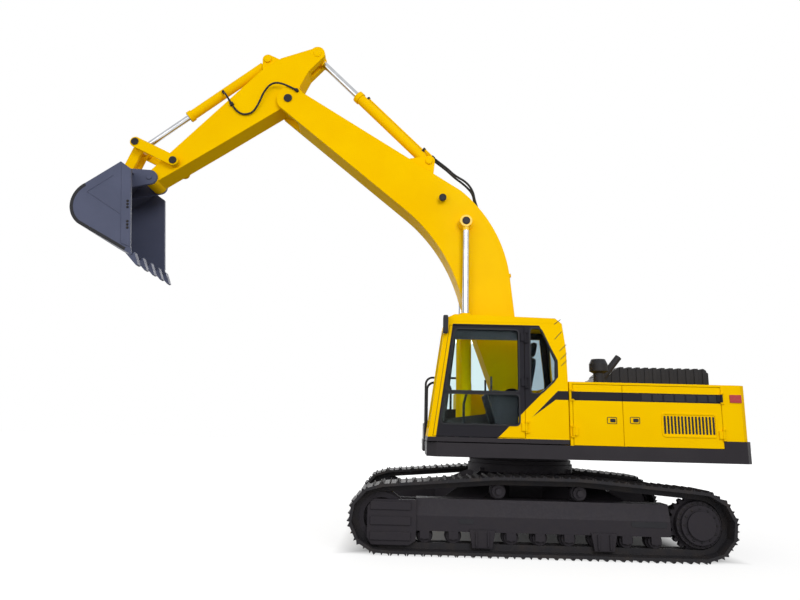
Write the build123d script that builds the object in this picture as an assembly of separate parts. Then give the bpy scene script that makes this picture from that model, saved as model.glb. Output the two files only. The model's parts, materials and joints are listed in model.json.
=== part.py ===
from build123d import *

import os
from math import atan2, cos, degrees, hypot, pi, radians, sin, sqrt

# Crawler excavator of the thirty-tonne class, millimetres.
# +X points to the machine's front, +Y to its left (the cab's side), +Z up.
# The origin lies on the ground under the slewing axis.

# Clearances shared by the fits
RUN_CLEAR = 0.3          # a pin in its eye, a rod in its gland, a roller on its rail
SIDE_CLEAR = 6.0         # between an eye and the ears beside it
PANEL_GAP = 6.0          # shut lines of doors and covers

# Tracks
TRACK_GAUGE = 2590.0
SHOE_WIDTH = 600.0
TUMBLER_DISTANCE = 4015.0
TREAD_RADIUS = 302.0     # idler and sprocket, where the link rails run
LINK_HEIGHT = 100.0
SHOE_PLATE = 12.0
GROUSER = 26.0
SHOE_PITCH = 203.0
SHOE_GAP = 14.0
GROUSER_FOOT = 24.0
PIN_DEPTH = 50.0         # link pins above the rails' running face
BELT_DEPTH = 25.0        # how far the shoes' bolts and bushes reach into the links
RAIL_INNER = 60.0        # from the track's middle to a rail's inner side
RAIL_WIDTH = 45.0
CARRIER_X = 520.0
CARRIER_RADIUS = 80.0
CARRIER_AXIS_Z = 782.0
ROLLER_RADIUS = 85.0
ROLLER_COUNT = 9
ROLLER_CHANNEL = 60.0     # how far the rollers stand up into the side frame
ROLLER_FIRST_X = -1450.0
ROLLER_LAST_X = 1460.0

# Track side frames and carbody
FRAME_HALF_WIDTH = 155.0
FRAME_BOTTOM_Z = 285.0
FRAME_CREASE_Z = 470.0
FRAME_TOP_Z = 675.0
FRAME_REAR_X = -1640.0
FRAME_FRONT_X = 1570.0
IDLER_GUARD_FRONT_X = 2190.0
IDLER_GUARD_LOW_Z = 110.0
IDLER_GUARD_HIGH_Z = 660.0
FINAL_DRIVE_RADIUS = 285.0
FINAL_DRIVE_OUT = 215.0
RING_RADIUS = 750.0
RING_HOLE = 600.0
RING_LOW_Z = 1080.0
RING_SPLIT_Z = 1136.0
TOW_EYE_RADIUS = 45.0

# Upper structure
DECK_UNDER_Z = 1200.0
DECK_TOP_Z = 1380.0
DECK_PLATE = 40.0
DECK_FRONT_X = 1445.0
DECK_REAR_X = -2400.0
HOUSE_HALF_WIDTH = 1440.0
NOTCH_HALF_WIDTH = 480.0
NOTCH_X = 935.0
SKIRT_DEPTH = 190.0
COVER_TOP_Z = 2205.0
COVER_PLATE = 30.0
FIREWALL_X = -416.0
DOOR_THICK = 30.0
SIDE_DOOR_SPLIT_X = -1110.0
TAIL_RADIUS = 3060.0
BUMPER_TOP_Z = 1480.0
BUMPER_PROUD = 30.0
BRACKET_INNER = 300.0
BRACKET_THICK = 45.0
LIFT_HOLE_RADIUS = 24.0
LIFT_HOLE_DEPTH = 100.0
LIFT_HOLE_PLACE = (-2820.0, 500.0)

# Engine hood
HOOD_FRONT_X = -1114.0
HOOD_REAR_X = -2677.0
HOOD_TOP_Z = 2490.0
HOOD_HALF_WIDTH = 560.0
HOOD_WALL = 25.0
HOOD_RIB = 14.0
HOOD_RIB_COUNT = 13

# Hinges of the hood and the bay doors
HINGE_KNUCKLE = 16.0
HINGE_PIN = 8.0
HOOD_HINGE_X = (-1500.0, -2200.0)
HOOD_HINGE_Y = HOOD_HALF_WIDTH + 45
HOOD_HINGE_Z = COVER_TOP_Z + 28
SIDE_HINGE_Z = (1560.0, 2030.0)
SIDE_HINGE_OUT = HOUSE_HALF_WIDTH + 18
# Each side door's hinge line: x, y, the side it is on, and where its fixed arm reaches
SIDE_HINGES = (
    (FIREWALL_X - 43, SIDE_HINGE_OUT, 1, 1),
    (DECK_REAR_X + 3, SIDE_HINGE_OUT, 1, -1),
    (DECK_REAR_X + 3, -SIDE_HINGE_OUT, -1, -1),
)

# Cab
CAB_IN_Y = 500.0
CAB_OUT_Y = 1450.0
CAB_WALL = 45.0
CAB_DOOR_THICK = 55.0
CAB_FLOOR_Z = 1393.0
CAB_SILL_Z = 1450.0
CAB_HEAD_Z = 2975.0
CAB_TOP_Z = 3077.0
CAB_FRONT_X = 1447.0
CAB_REAR_X = -401.0
CAB_LEAN = 0.142         # how far the front moves back for each unit of height
DOOR_REAR_X = 170.0
DOOR_PANES = ((1630.0, 2010.0), (2060.0, 2870.0))
QUARTER_PANE = [(81, 2900), (-48, 2900), (-242, 2476), (-236, 2234), (-43, 2046), (81, 2043)]
RIGHT_PANE = [(1150, 1700), (1010, 2880), (-230, 2880), (-290, 2250), (-290, 1900)]
WINDSCREEN_Y = (CAB_IN_Y + 100, CAB_OUT_Y - 115)
WINDSCREEN_Z = (1560.0, 2920.0)
REAR_PANE_Z = (2250.0, 2900.0)
CAB_HINGE = (DOOR_REAR_X - 12, CAB_OUT_Y + 22)
CAB_HINGE_Z = (1600.0, 2180.0, 2780.0)
GLASS = 8.0

# Working equipment: pins and lengths
FOOT = (150.0, 2000.0)
BOOM_LENGTH = 6107.0
BOOM_RAISE = 53.17       # degrees above level, foot pin to nose pin
BOOM_HALF = 260.0
BOOM_FOOT_RADIUS = 200.0
BOOM_NOSE_RADIUS = 205.0
FORK_RADIUS = 430.0      # the nose fork's slot, which the arm turns in
ARM_LENGTH = 2608.0
ARM_SLOPE = -33.25       # degrees, nose pin to bucket pin
ARM_HALF = 180.0
BUCKET_HALF = 700.0
BUCKET_PLATE = 30.0
PIN_RADIUS = 45.0
FOOT_PIN_RADIUS = 60.0
BUCKET_EAR_INNER = ARM_HALF + 20
BUCKET_EAR_OUTER = BUCKET_EAR_INNER + 45
BUCKET_PIN_END = BUCKET_EAR_OUTER + 15
ROCKER_INNER = BUCKET_PIN_END + SIDE_CLEAR
ROCKER_OUTER = ROCKER_INNER + 32
ROCKER_BOSS = 80.0
LINK_INNER = 66.0        # the link's two arms beside the rod's eye
LINK_OUTER = LINK_INNER + 55

# Hydraulic cylinders
EYE_RADIUS = 95.0
EYE_HALF = 58.0
EAR_THICK = 35.0
EAR_BOSS = 72.0
PIN_PROUD = 18.0
BOOM_CYLINDER_Y = 365.0
BOOM_CYLINDER_BASE = (850.0, 1420.0)


class Cylinder_size:
    """The sizes of one hydraulic cylinder."""

    def __init__(self, barrel_length, rod_length, barrel_radius, rod_radius):
        self.barrel_length = barrel_length
        self.rod_length = rod_length
        self.barrel_radius = barrel_radius
        self.rod_radius = rod_radius


BOOM_CYLINDER = Cylinder_size(1860.0, 1820.0, 85.0, 52.0)
ARM_CYLINDER = Cylinder_size(1734.0, 2080.0, 87.0, 54.0)
BUCKET_CYLINDER = Cylinder_size(1668.0, 1760.0, 80.0, 50.0)
BARREL_WALL = 14.0
GLAND_LENGTH = 80.0
GLAND_PROUD = 14.0


# Plain helpers

def slab(points, y_low, y_high):
    """A closed outline of (x, z) points, extruded from y_low to y_high."""
    return prism(make_face(Polyline(*points, close=True)), y_low, y_high)


def prism(face, y_low, y_high):
    """A face drawn in x and z, extruded from y_low to y_high."""
    return extrude(Plane.XZ.offset(-y_high) * face, amount=y_high - y_low)


def plan(points, z_low, z_high):
    """A closed outline of (x, y) points, extruded upwards."""
    return extrude(Pos(0, 0, z_low) * make_face(Polyline(*points, close=True)), amount=z_high - z_low)


def section(points, x_low, x_high):
    """A closed outline of (y, z) points, extruded along X."""
    return extrude(Plane.YZ.offset(x_low) * make_face(Polyline(*points, close=True)), amount=x_high - x_low)


def disc(x, z, radius, y_low, y_high):
    """A round bar along Y."""
    return Pos(x, (y_low + y_high) / 2, z) * Rot(90, 0, 0) * Cylinder(radius, y_high - y_low)


def post(x, y, radius, z_low, z_high):
    """A round bar along Z."""
    return Pos(x, y, (z_low + z_high) / 2) * Cylinder(radius, z_high - z_low)


def bar(y, z, radius, x_low, x_high):
    """A round bar along X."""
    return Pos((x_low + x_high) / 2, y, z) * Rot(0, 90, 0) * Cylinder(radius, x_high - x_low)


def block(x_low, x_high, y_low, y_high, z_low, z_high):
    """A box given by its limits."""
    middle = Pos((x_low + x_high) / 2, (y_low + y_high) / 2, (z_low + z_high) / 2)
    return middle * Box(x_high - x_low, y_high - y_low, z_high - z_low)


def other_side(shape):
    """The same shape on the machine's other side."""
    return mirror(shape, about=Plane.XZ)


def both(shape):
    """A shape and its twin on the other side."""
    return [shape, other_side(shape)]


def turned(origin, angle, point):
    """A point of a raised part's own frame, in the machine's x and z."""
    a = radians(angle)
    x = origin[0] + point[0] * cos(a) - point[1] * sin(a)
    z = origin[1] + point[0] * sin(a) + point[1] * cos(a)
    return (x, z)


def raised(origin, angle, shape):
    """A shape drawn along X, turned up by an angle about a pin."""
    return Pos(origin[0], 0, origin[1]) * Rot(0, -angle, 0) * shape


def hull_face(circles):
    """The face inside a band stretched round circles given as (x, z, radius)."""
    edges = Curve() + [Pos(x, z) * CenterArc((0, 0), r, 0, 360) for x, z, r in circles]
    return make_face(make_hull(edges.edges()))


def clevis(face, x, z, barrel_radius):
    """Two ears that clear a barrel, with bosses up to its eye and the pin through them."""
    inner = barrel_radius + SIDE_CLEAR
    boss = EYE_HALF + SIDE_CLEAR
    ears = prism(face, inner, inner + EAR_THICK) + disc(x, z, EAR_BOSS, boss, inner)
    ears += other_side(ears)
    return ears + disc(x, z, PIN_RADIUS, -inner - EAR_THICK - PIN_PROUD, inner + EAR_THICK + PIN_PROUD)


def save(name, *shapes):
    """Write one node's solids to its file."""
    solids = [solid for shape in shapes for solid in shape.solids()]
    whole = solids[0] if len(solids) == 1 else Compound(children=solids)
    export_step(whole, f"parts/{name}.step")


# Pin places that several parts share
NOSE = turned(FOOT, BOOM_RAISE, (BOOM_LENGTH, 0.0))
BOOM_ROD_LOCAL = (2629.0, 1094.0)
ARM_BASE_LOCAL = (3875.0, 1293.0)
BOOM_ROD_PIN = turned(FOOT, BOOM_RAISE, BOOM_ROD_LOCAL)
ARM_BASE_PIN = turned(FOOT, BOOM_RAISE, ARM_BASE_LOCAL)
BUCKET_PIN = turned(NOSE, ARM_SLOPE, (ARM_LENGTH, 0.0))
ARM_ROD_LOCAL = (-856.0, 509.0)
BUCKET_BASE_LOCAL = (-89.0, 905.0)
ROCKER_LOCAL = (2142.0, 25.0)
KNEE_LOCAL = (2518.0, 645.0)
ARM_ROD_PIN = turned(NOSE, ARM_SLOPE, ARM_ROD_LOCAL)
BUCKET_BASE_PIN = turned(NOSE, ARM_SLOPE, BUCKET_BASE_LOCAL)
ROCKER_PIN = turned(NOSE, ARM_SLOPE, ROCKER_LOCAL)
KNEE_PIN = turned(NOSE, ARM_SLOPE, KNEE_LOCAL)
LINK_LOCAL = (480.0, 42.0)
LINK_PIN = (BUCKET_PIN[0] + LINK_LOCAL[0], BUCKET_PIN[1] + LINK_LOCAL[1])

TRACK_Y = TRACK_GAUGE / 2
TIP_RADIUS = TREAD_RADIUS + LINK_HEIGHT + SHOE_PLATE + GROUSER
AXLE_Z = TIP_RADIUS
TUMBLER_X = TUMBLER_DISTANCE / 2
RAIL_OUTER = RAIL_INNER + RAIL_WIDTH


# Tracks

def track_circles(depth):
    """The four circles that a track loop lies on, a depth above the link rails' running face."""
    return [
        (-TUMBLER_X, AXLE_Z, TREAD_RADIUS + depth),
        (TUMBLER_X, AXLE_Z, TREAD_RADIUS + depth),
        (-CARRIER_X, CARRIER_AXIS_Z, CARRIER_RADIUS + depth),
        (CARRIER_X, CARRIER_AXIS_Z, CARRIER_RADIUS + depth),
    ]


def link_pins():
    """The link pins' places round the loop, evenly spaced."""
    path = hull_face(track_circles(PIN_DEPTH)).face().outer_wire()
    count = round(path.length / SHOE_PITCH)
    return [path.position_at(i / count) for i in range(count)]


def link_outline(profile):
    """A loop's outline that repeats a profile on each link, between one pin and the next.

    The profile is a function of the link's half length and gives points along the link and out of it.
    """
    pins = link_pins()
    middle = Vector(0, AXLE_Z, 0)
    points = []
    for start, end in zip(pins, pins[1:] + pins[:1]):
        along = (end - start).normalized()
        out = Vector(along.Y, -along.X, 0)
        if out.dot(start - middle) < 0:
            out = out * -1
        for t, n in profile((end - start).length / 2):
            point = (start + end) * 0.5 + along * t + out * n
            points.append((point.X, point.Y))
    return make_face(Polyline(*points, close=True))


def shoe_profile(half):
    """A flat shoe with three grousers, and the gap before the next shoe."""
    base = LINK_HEIGHT - PIN_DEPTH
    rise = base + SHOE_PLATE
    tip = rise + GROUSER
    edge = half - SHOE_GAP / 2
    return [
        (-half, base), (-edge, tip), (-edge + GROUSER_FOOT, rise), (-GROUSER_FOOT / 2, rise),
        (0, tip), (GROUSER_FOOT / 2, rise), (edge - GROUSER_FOOT, rise), (edge, tip),
    ]


def plain_profile(half):
    """A link's straight inner line under its shoe."""
    return [(-half, LINK_HEIGHT - BELT_DEPTH - PIN_DEPTH)]


def track(side):
    """One track: a belt of shoes and two link rails under it."""
    inside = link_outline(plain_profile)
    belt = link_outline(shoe_profile) - inside
    rail = inside - hull_face(track_circles(0))
    y = side * TRACK_Y
    loop = prism(belt, y - SHOE_WIDTH / 2, y + SHOE_WIDTH / 2)
    loop += prism(rail, y + RAIL_INNER, y + RAIL_OUTER)
    loop += prism(rail, y - RAIL_OUTER, y - RAIL_INNER)
    return loop


def roller(x, z, radius, y, half):
    """A double-flanged track roller on its axle."""
    shape = disc(x, z, radius - RUN_CLEAR, y - half, y + half)
    shape += disc(x, z, radius + 22, y - RAIL_INNER + 8, y + RAIL_INNER - 8)
    shape += disc(x, z, 40, y - FRAME_HALF_WIDTH, y + FRAME_HALF_WIDTH)
    return shape


def bottom_rollers():
    """All bottom rollers, each hung from the side frame by a collar at each end."""
    shapes = []
    rail_z = GROUSER + SHOE_PLATE + LINK_HEIGHT
    axis_z = rail_z + ROLLER_RADIUS
    step = (ROLLER_LAST_X - ROLLER_FIRST_X) / (ROLLER_COUNT - 1)
    for i in range(ROLLER_COUNT):
        x = ROLLER_FIRST_X + i * step
        one = roller(x, axis_z, ROLLER_RADIUS, TRACK_Y, RAIL_OUTER + 5)
        for y in (TRACK_Y - FRAME_HALF_WIDTH, TRACK_Y + FRAME_HALF_WIDTH - 35):
            one += block(x - 60, x + 60, y, y + 35, axis_z - 30, FRAME_BOTTOM_Z)
        shapes += both(one)
    return shapes


def carrier_rollers():
    """Two carrier rollers a side, each on a bracket that stands on the side frame."""
    shapes = []
    for x in (-CARRIER_X, CARRIER_X):
        one = roller(x, CARRIER_AXIS_Z, CARRIER_RADIUS, TRACK_Y, RAIL_OUTER + 5)
        one += slab(
            [(x - 70, FRAME_TOP_Z), (x + 70, FRAME_TOP_Z), (x + 45, CARRIER_AXIS_Z + 45), (x - 45, CARRIER_AXIS_Z + 45)],
            TRACK_Y - FRAME_HALF_WIDTH, TRACK_Y - FRAME_HALF_WIDTH + 40)
        shapes += both(one)
    return shapes


def sprockets():
    """Toothed drive wheels with the final drive's stepped cover outside and its motor inside."""
    teeth = 23
    root = TREAD_RADIUS + 12
    tip = TREAD_RADIUS + 48
    points = []
    for i in range(teeth):
        for share, radius in ((0.0, root), (0.3, root), (0.45, tip), (0.85, tip)):
            a = 2 * pi * (i + share) / teeth
            points.append((radius * cos(a), radius * sin(a)))
    wheel = slab(points, TRACK_Y - 40, TRACK_Y + 40)
    wheel += disc(0, 0, FINAL_DRIVE_RADIUS, TRACK_Y + 40, TRACK_Y + 130)
    wheel += disc(0, 0, FINAL_DRIVE_RADIUS - 45, TRACK_Y + 130, TRACK_Y + 180)
    wheel += disc(0, 0, FINAL_DRIVE_RADIUS - 110, TRACK_Y + 180, TRACK_Y + FINAL_DRIVE_OUT)
    wheel += disc(0, 0, 215, TRACK_Y - FRAME_HALF_WIDTH, TRACK_Y - 40)
    return both(Pos(-TUMBLER_X, 0, AXLE_Z) * wheel)


def idlers():
    """Front idlers: a rim with a centre flange, a dished web and a hub."""
    hub = 95
    half = RAIL_OUTER
    profile = [
        (0, -half - 10), (hub, -half - 10), (hub, -35), (TREAD_RADIUS - 70, -35),
        (TREAD_RADIUS - 70, -half), (TREAD_RADIUS - RUN_CLEAR, -half),
        (TREAD_RADIUS - RUN_CLEAR, -RAIL_INNER + 8), (TREAD_RADIUS + 22, -RAIL_INNER + 8),
        (TREAD_RADIUS + 22, RAIL_INNER - 8), (TREAD_RADIUS - RUN_CLEAR, RAIL_INNER - 8),
        (TREAD_RADIUS - RUN_CLEAR, half), (TREAD_RADIUS - 70, half), (TREAD_RADIUS - 70, 35),
        (hub, 35), (hub, half + 10), (0, half + 10),
    ]
    wheel = revolve(make_face(Polyline(*profile, close=True)), Axis.Y)
    return both(Pos(TUMBLER_X, TRACK_Y, AXLE_Z) * wheel)


def track_frames():
    """Side frames: a creased box beam, the idler's fork with its stepped guard, and the drive's ring."""
    half = FRAME_HALF_WIDTH
    beam = section(
        [(TRACK_Y - half, FRAME_BOTTOM_Z), (TRACK_Y + half, FRAME_BOTTOM_Z), (TRACK_Y + half, FRAME_CREASE_Z),
         (TRACK_Y + half - 60, FRAME_TOP_Z), (TRACK_Y - half, FRAME_TOP_Z)],
        FRAME_REAR_X, FRAME_FRONT_X)
    channel = RAIL_OUTER + 14
    beam -= block(FRAME_REAR_X - 1, FRAME_FRONT_X + 1, TRACK_Y - channel, TRACK_Y + channel, FRAME_BOTTOM_Z - 1,
                  FRAME_BOTTOM_Z + ROLLER_CHANNEL)
    fork_in = RAIL_OUTER + 10
    guard = [
        (FRAME_FRONT_X, IDLER_GUARD_LOW_Z + 60), (FRAME_FRONT_X + 90, IDLER_GUARD_LOW_Z),
        (IDLER_GUARD_FRONT_X - 60, IDLER_GUARD_LOW_Z), (IDLER_GUARD_FRONT_X, IDLER_GUARD_LOW_Z + 90),
        (IDLER_GUARD_FRONT_X, IDLER_GUARD_HIGH_Z - 90), (IDLER_GUARD_FRONT_X - 70, IDLER_GUARD_HIGH_Z),
        (FRAME_FRONT_X, IDLER_GUARD_HIGH_Z),
    ]
    beam += slab(guard, TRACK_Y + fork_in, TRACK_Y + half + 25)
    beam += slab(guard, TRACK_Y - half, TRACK_Y - fork_in)
    step_height = (IDLER_GUARD_HIGH_Z - IDLER_GUARD_LOW_Z) / 3
    for i in range(3):
        low = IDLER_GUARD_LOW_Z + i * step_height
        beam += block(FRAME_FRONT_X + 70, IDLER_GUARD_FRONT_X - 40, TRACK_Y + half + 25, TRACK_Y + half + 45,
                      low + 60, low + step_height - 25)
    plate = hull_face([(-TUMBLER_X, AXLE_Z, 255), (FRAME_REAR_X, AXLE_Z, 150)])
    beam += prism(plate, TRACK_Y - half - 40, TRACK_Y - half)
    beam += block(FRAME_REAR_X - 1, FRAME_REAR_X + 260, TRACK_Y - half - 40, TRACK_Y - half, AXLE_Z - 150, AXLE_Z + 150)
    return both(beam)


def carbody():
    """The centre box under the slewing ring and its four legs to the side frames."""
    body = Pos(0, 0, (560 + RING_LOW_Z - 60) / 2) * Box(1300, 1000, RING_LOW_Z - 60 - 560)
    body += post(0, 0, RING_RADIUS + 20, RING_LOW_Z - 110, RING_LOW_Z)
    reach = TRACK_Y - FRAME_HALF_WIDTH
    near = Plane.XZ.offset(-480) * (Pos(430, 780) * Rectangle(420, 400))
    far = Plane.XZ.offset(-reach) * (Pos(960, 530) * Rectangle(520, 270))
    leg = loft([near, far])
    for front in (leg, mirror(leg, about=Plane.YZ)):
        for shape in both(front):
            body += shape
    return body


def tow_lugs():
    """A plate with a vertical eye at the front and rear of the centre box."""
    front = block(650, 830, -120, 120, 600, 650)
    front += post(830, 0, 120, 600, 650)
    front -= post(845, 0, TOW_EYE_RADIUS, 590, 660)
    return [front, mirror(front, about=Plane.YZ)]


# Upper structure

def main_frame():
    """Deck plate with its skirts, the slewing plate and the ears of the boom cylinders."""
    half = HOUSE_HALF_WIDTH
    corner = 120
    outline = [
        (DECK_REAR_X, -half), (DECK_FRONT_X - corner, -half), (DECK_FRONT_X, -half + corner),
        (DECK_FRONT_X, -NOTCH_HALF_WIDTH), (NOTCH_X, -NOTCH_HALF_WIDTH), (NOTCH_X, NOTCH_HALF_WIDTH),
        (DECK_FRONT_X, NOTCH_HALF_WIDTH), (DECK_FRONT_X, half - corner), (DECK_FRONT_X - corner, half),
        (DECK_REAR_X, half),
    ]
    frame = plan(outline, DECK_UNDER_Z, DECK_TOP_Z)
    inside_low = -half + SKIRT_DEPTH
    under = DECK_TOP_Z - DECK_PLATE
    front_inside = DECK_FRONT_X - SKIRT_DEPTH
    for y_low, y_high in ((inside_low, -660), (660, -inside_low)):
        frame -= block(DECK_REAR_X + 60, front_inside, y_low, y_high, DECK_UNDER_Z - 1, under)
    frame -= block(DECK_REAR_X + 60, -860, -330, 330, DECK_UNDER_Z - 1, under)
    base_x, base_z = BOOM_CYLINDER_BASE
    ear = hull_face([(base_x, base_z, 92), (base_x - 60, DECK_TOP_Z - 90, 30), (base_x + 45, DECK_TOP_Z - 90, 30)])
    inner = BOOM_CYLINDER_Y - EYE_HALF - SIDE_CLEAR
    outer = BOOM_CYLINDER_Y + EYE_HALF + SIDE_CLEAR
    pocket = block(base_x - EYE_RADIUS - SIDE_CLEAR, NOTCH_X + 1, inner, outer, DECK_UNDER_Z - 1, DECK_TOP_Z + 1)
    ears = prism(ear, inner - EAR_THICK, inner) + prism(ear, outer, outer + EAR_THICK)
    ears += disc(base_x, base_z, PIN_RADIUS, inner - EAR_THICK, outer + EAR_THICK)
    for hole, foot in zip(both(pocket), both(ears)):
        frame = frame - hole + foot
    return frame


def boom_brackets():
    """The two plates on the deck that carry the boom, with its foot pin through them."""
    sides = hull_face([(FOOT[0], FOOT[1], 170), (-320, DECK_TOP_Z - 60, 60), (700, DECK_TOP_Z - 60, 60)])
    outer = BRACKET_INNER + BRACKET_THICK
    plate = prism(sides, BRACKET_INNER, outer) & block(-500, 900, 0, outer, DECK_TOP_Z, FOOT[1] + 200)
    pin = disc(FOOT[0], FOOT[1], FOOT_PIN_RADIUS, -outer - 20, outer + 20)
    return plate + other_side(plate) + pin


def counterweight_outline(proud):
    """The counterweight's plan: straight sides and a tail on an arc about the slewing axis."""
    radius = TAIL_RADIUS + proud
    half = HOUSE_HALF_WIDTH + min(proud, 0.0)
    corner_x = -sqrt(radius ** 2 - half ** 2)
    left = Line((DECK_REAR_X, half), (corner_x + 40, half))
    nose_angle = atan2(half - 60, -sqrt(radius ** 2 - (half - 60) ** 2))
    nose = (radius * cos(nose_angle), radius * sin(nose_angle))
    blend = Line((corner_x + 40, half), nose)
    tail = ThreePointArc(nose, (-radius, 0), (nose[0], -nose[1]))
    blend_right = Line((nose[0], -nose[1]), (corner_x + 40, -half))
    right = Line((corner_x + 40, -half), (DECK_REAR_X, -half))
    front = Line((DECK_REAR_X, -half), (DECK_REAR_X, half))
    return make_face(Curve() + [left, blend, tail, blend_right, right, front])


def counterweight():
    """The cast counterweight above its bumper, with two lifting holes."""
    weight = extrude(Pos(0, 0, BUMPER_TOP_Z) * counterweight_outline(0), amount=COVER_TOP_Z - BUMPER_TOP_Z)
    x, y = LIFT_HOLE_PLACE
    for side in (y, -y):
        weight -= post(x, side, LIFT_HOLE_RADIUS, COVER_TOP_Z - LIFT_HOLE_DEPTH, COVER_TOP_Z + 1)
    return weight + fixed_hinge(SIDE_HINGES[1]) + fixed_hinge(SIDE_HINGES[2])


def counterweight_bumper():
    """The dark band that carries the counterweight and bulges past its tail."""
    band = extrude(Pos(0, 0, DECK_UNDER_Z) * counterweight_outline(BUMPER_PROUD), amount=BUMPER_TOP_Z - DECK_UNDER_Z)
    return band


def hood_profile(grow):
    """The hood's side outline, grown outwards on its front, top and rear."""
    low = COVER_TOP_Z + PANEL_GAP
    return [
        (HOOD_FRONT_X + grow, low), (HOOD_FRONT_X + grow, low + 75), (HOOD_FRONT_X - 244 + grow / 2, HOOD_TOP_Z + grow),
        (HOOD_REAR_X + 70, HOOD_TOP_Z + grow), (HOOD_REAR_X - grow, HOOD_TOP_Z - 50), (HOOD_REAR_X - grow, low),
    ]


def engine_hood():
    """A shallow lid with ribs across it, hinged along its right edge."""
    half = HOOD_HALF_WIDTH
    lid = slab(hood_profile(0), -half, half)
    inner = [(x - HOOD_WALL if x > -2000 else x + HOOD_WALL, z) for x, z in hood_profile(0)]
    inner = [(x, min(z, HOOD_TOP_Z - HOOD_WALL)) for x, z in inner]
    lid -= slab([(x, z - (1 if i in (0, 5) else 0)) for i, (x, z) in enumerate(inner)], -half + HOOD_WALL, half - HOOD_WALL)
    ribbed = slab(hood_profile(HOOD_RIB), -half - HOOD_RIB, half + HOOD_RIB) - slab(hood_profile(0), -half, half)
    pitch = (HOOD_FRONT_X - HOOD_REAR_X) / HOOD_RIB_COUNT
    for i in range(HOOD_RIB_COUNT):
        x = HOOD_REAR_X + (i + 0.5) * pitch
        lid += ribbed & block(x - 28, x + 28, -half - 50, half + 50, COVER_TOP_Z, HOOD_TOP_Z + 100)
    for x in HOOD_HINGE_X:
        lid += bar(-HOOD_HINGE_Y, HOOD_HINGE_Z, HINGE_KNUCKLE, x - 40, x + 40)
        lid += block(x - 40, x + 40, -HOOD_HINGE_Y, -half + 5, HOOD_HINGE_Z, HOOD_HINGE_Z + 10)
        lid -= bar(-HOOD_HINGE_Y, HOOD_HINGE_Z, HINGE_PIN + RUN_CLEAR, x - 41, x + 41)
    return lid


def fixed_hinge(hinge):
    """The fixed half of a side door's hinges: pins held at both ends by arms on the body."""
    x, y, sign, towards = hinge
    face = sign * (HOUSE_HALF_WIDTH - 5)
    far = x + towards * 34
    half = Part()
    for z in SIDE_HINGE_Z:
        half += post(x, y, HINGE_PIN, z - 75, z + 75)
        for end in (z - 75, z + 55):
            half += block(min(x, far), max(x, far), min(y, face), max(y, face), end, end + 20)
            half += post(x, y, HINGE_KNUCKLE, end, end + 20)
    return half


def deck_covers():
    """Bulkhead, top covers and posts of the engine bay, with the pins that its doors and hood turn on."""
    half = HOUSE_HALF_WIDTH
    top = block(DECK_REAR_X, FIREWALL_X, -half, half, COVER_TOP_Z - COVER_PLATE, COVER_TOP_Z)
    top -= block(DECK_REAR_X - 1, HOOD_FRONT_X - 30, -HOOD_HALF_WIDTH + 30, HOOD_HALF_WIDTH - 30,
                 COVER_TOP_Z - COVER_PLATE - 1, COVER_TOP_Z + 1)
    top += block(FIREWALL_X - 40, FIREWALL_X, -half, half, DECK_TOP_Z, COVER_TOP_Z - COVER_PLATE)
    inside = half - DOOR_THICK - 10
    for y in (inside - 60, -inside):
        top += block(SIDE_DOOR_SPLIT_X - 50, SIDE_DOOR_SPLIT_X + 50, y, y + 60, DECK_TOP_Z, COVER_TOP_Z - COVER_PLATE)
    top += block(SIDE_DOOR_SPLIT_X + PANEL_GAP / 2, FIREWALL_X - 40, -half, -half + DOOR_THICK,
                 DECK_TOP_Z, COVER_TOP_Z - COVER_PLATE)
    top += fixed_hinge(SIDE_HINGES[0])
    for x in HOOD_HINGE_X:
        top += bar(-HOOD_HINGE_Y, HOOD_HINGE_Z, HINGE_PIN, x - 65, x + 65)
        for end in (x - 65, x + 45):
            top += block(end, end + 20, -HOOD_HINGE_Y - 12, -HOOD_HINGE_Y + 12, COVER_TOP_Z, HOOD_HINGE_Z + 12)
    return top


def side_door(x_low, x_high, hinge):
    """A flat bay door with its hinge knuckles."""
    x, y, sign, towards = hinge
    half = HOUSE_HALF_WIDTH
    low, high = sorted((sign * half, sign * (half - DOOR_THICK)))
    door = block(x_low, x_high, low, high, DECK_TOP_Z + PANEL_GAP, COVER_TOP_Z - COVER_PLATE - PANEL_GAP)
    for z in SIDE_HINGE_Z:
        door += post(x, y, HINGE_KNUCKLE, z - 50, z + 50)
        leaf_x = x - towards * 60
        door += block(min(x, leaf_x), max(x, leaf_x), min(y, y - sign * 20), max(y, y - sign * 20), z - 50, z + 50)
        door -= post(x, y, HINGE_PIN + RUN_CLEAR, z - 51, z + 51)
    return door


def engine_block():
    """The engine as one plain block on the deck."""
    return block(-2250, -1250, -430, 430, DECK_TOP_Z, 2110)


def tanks():
    """Hydraulic and fuel tanks on the right of the boom."""
    right = -HOUSE_HALF_WIDTH
    hydraulic = block(FIREWALL_X, 240, right, -570, DECK_TOP_Z, COVER_TOP_Z)
    fuel = block(250, 900, right, -570, DECK_TOP_Z, COVER_TOP_Z - 60)
    caps = post(60, -900, 70, COVER_TOP_Z, COVER_TOP_Z + 45)
    filler = post(560, -900, 70, COVER_TOP_Z - 60, COVER_TOP_Z - 15)
    return [fillet(hydraulic.edges().filter_by(Axis.Z), 40) + caps, fillet(fuel.edges().filter_by(Axis.Z), 40) + filler]


def tool_box():
    """The stepped tool box at the right front corner."""
    right = -HOUSE_HALF_WIDTH
    box = slab([(910, DECK_TOP_Z), (1430, DECK_TOP_Z), (1430, 1640), (1180, 1640), (1180, 1870), (910, 1870)], right, -570)
    return box


def tube(points, radius, bend):
    """A round tube along straight runs joined by bends."""
    path = FilletPolyline(*points, radius=bend)
    start = Plane(origin=path @ 0, z_dir=path % 0)
    return sweep(start * Circle(radius), path=path)


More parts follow.
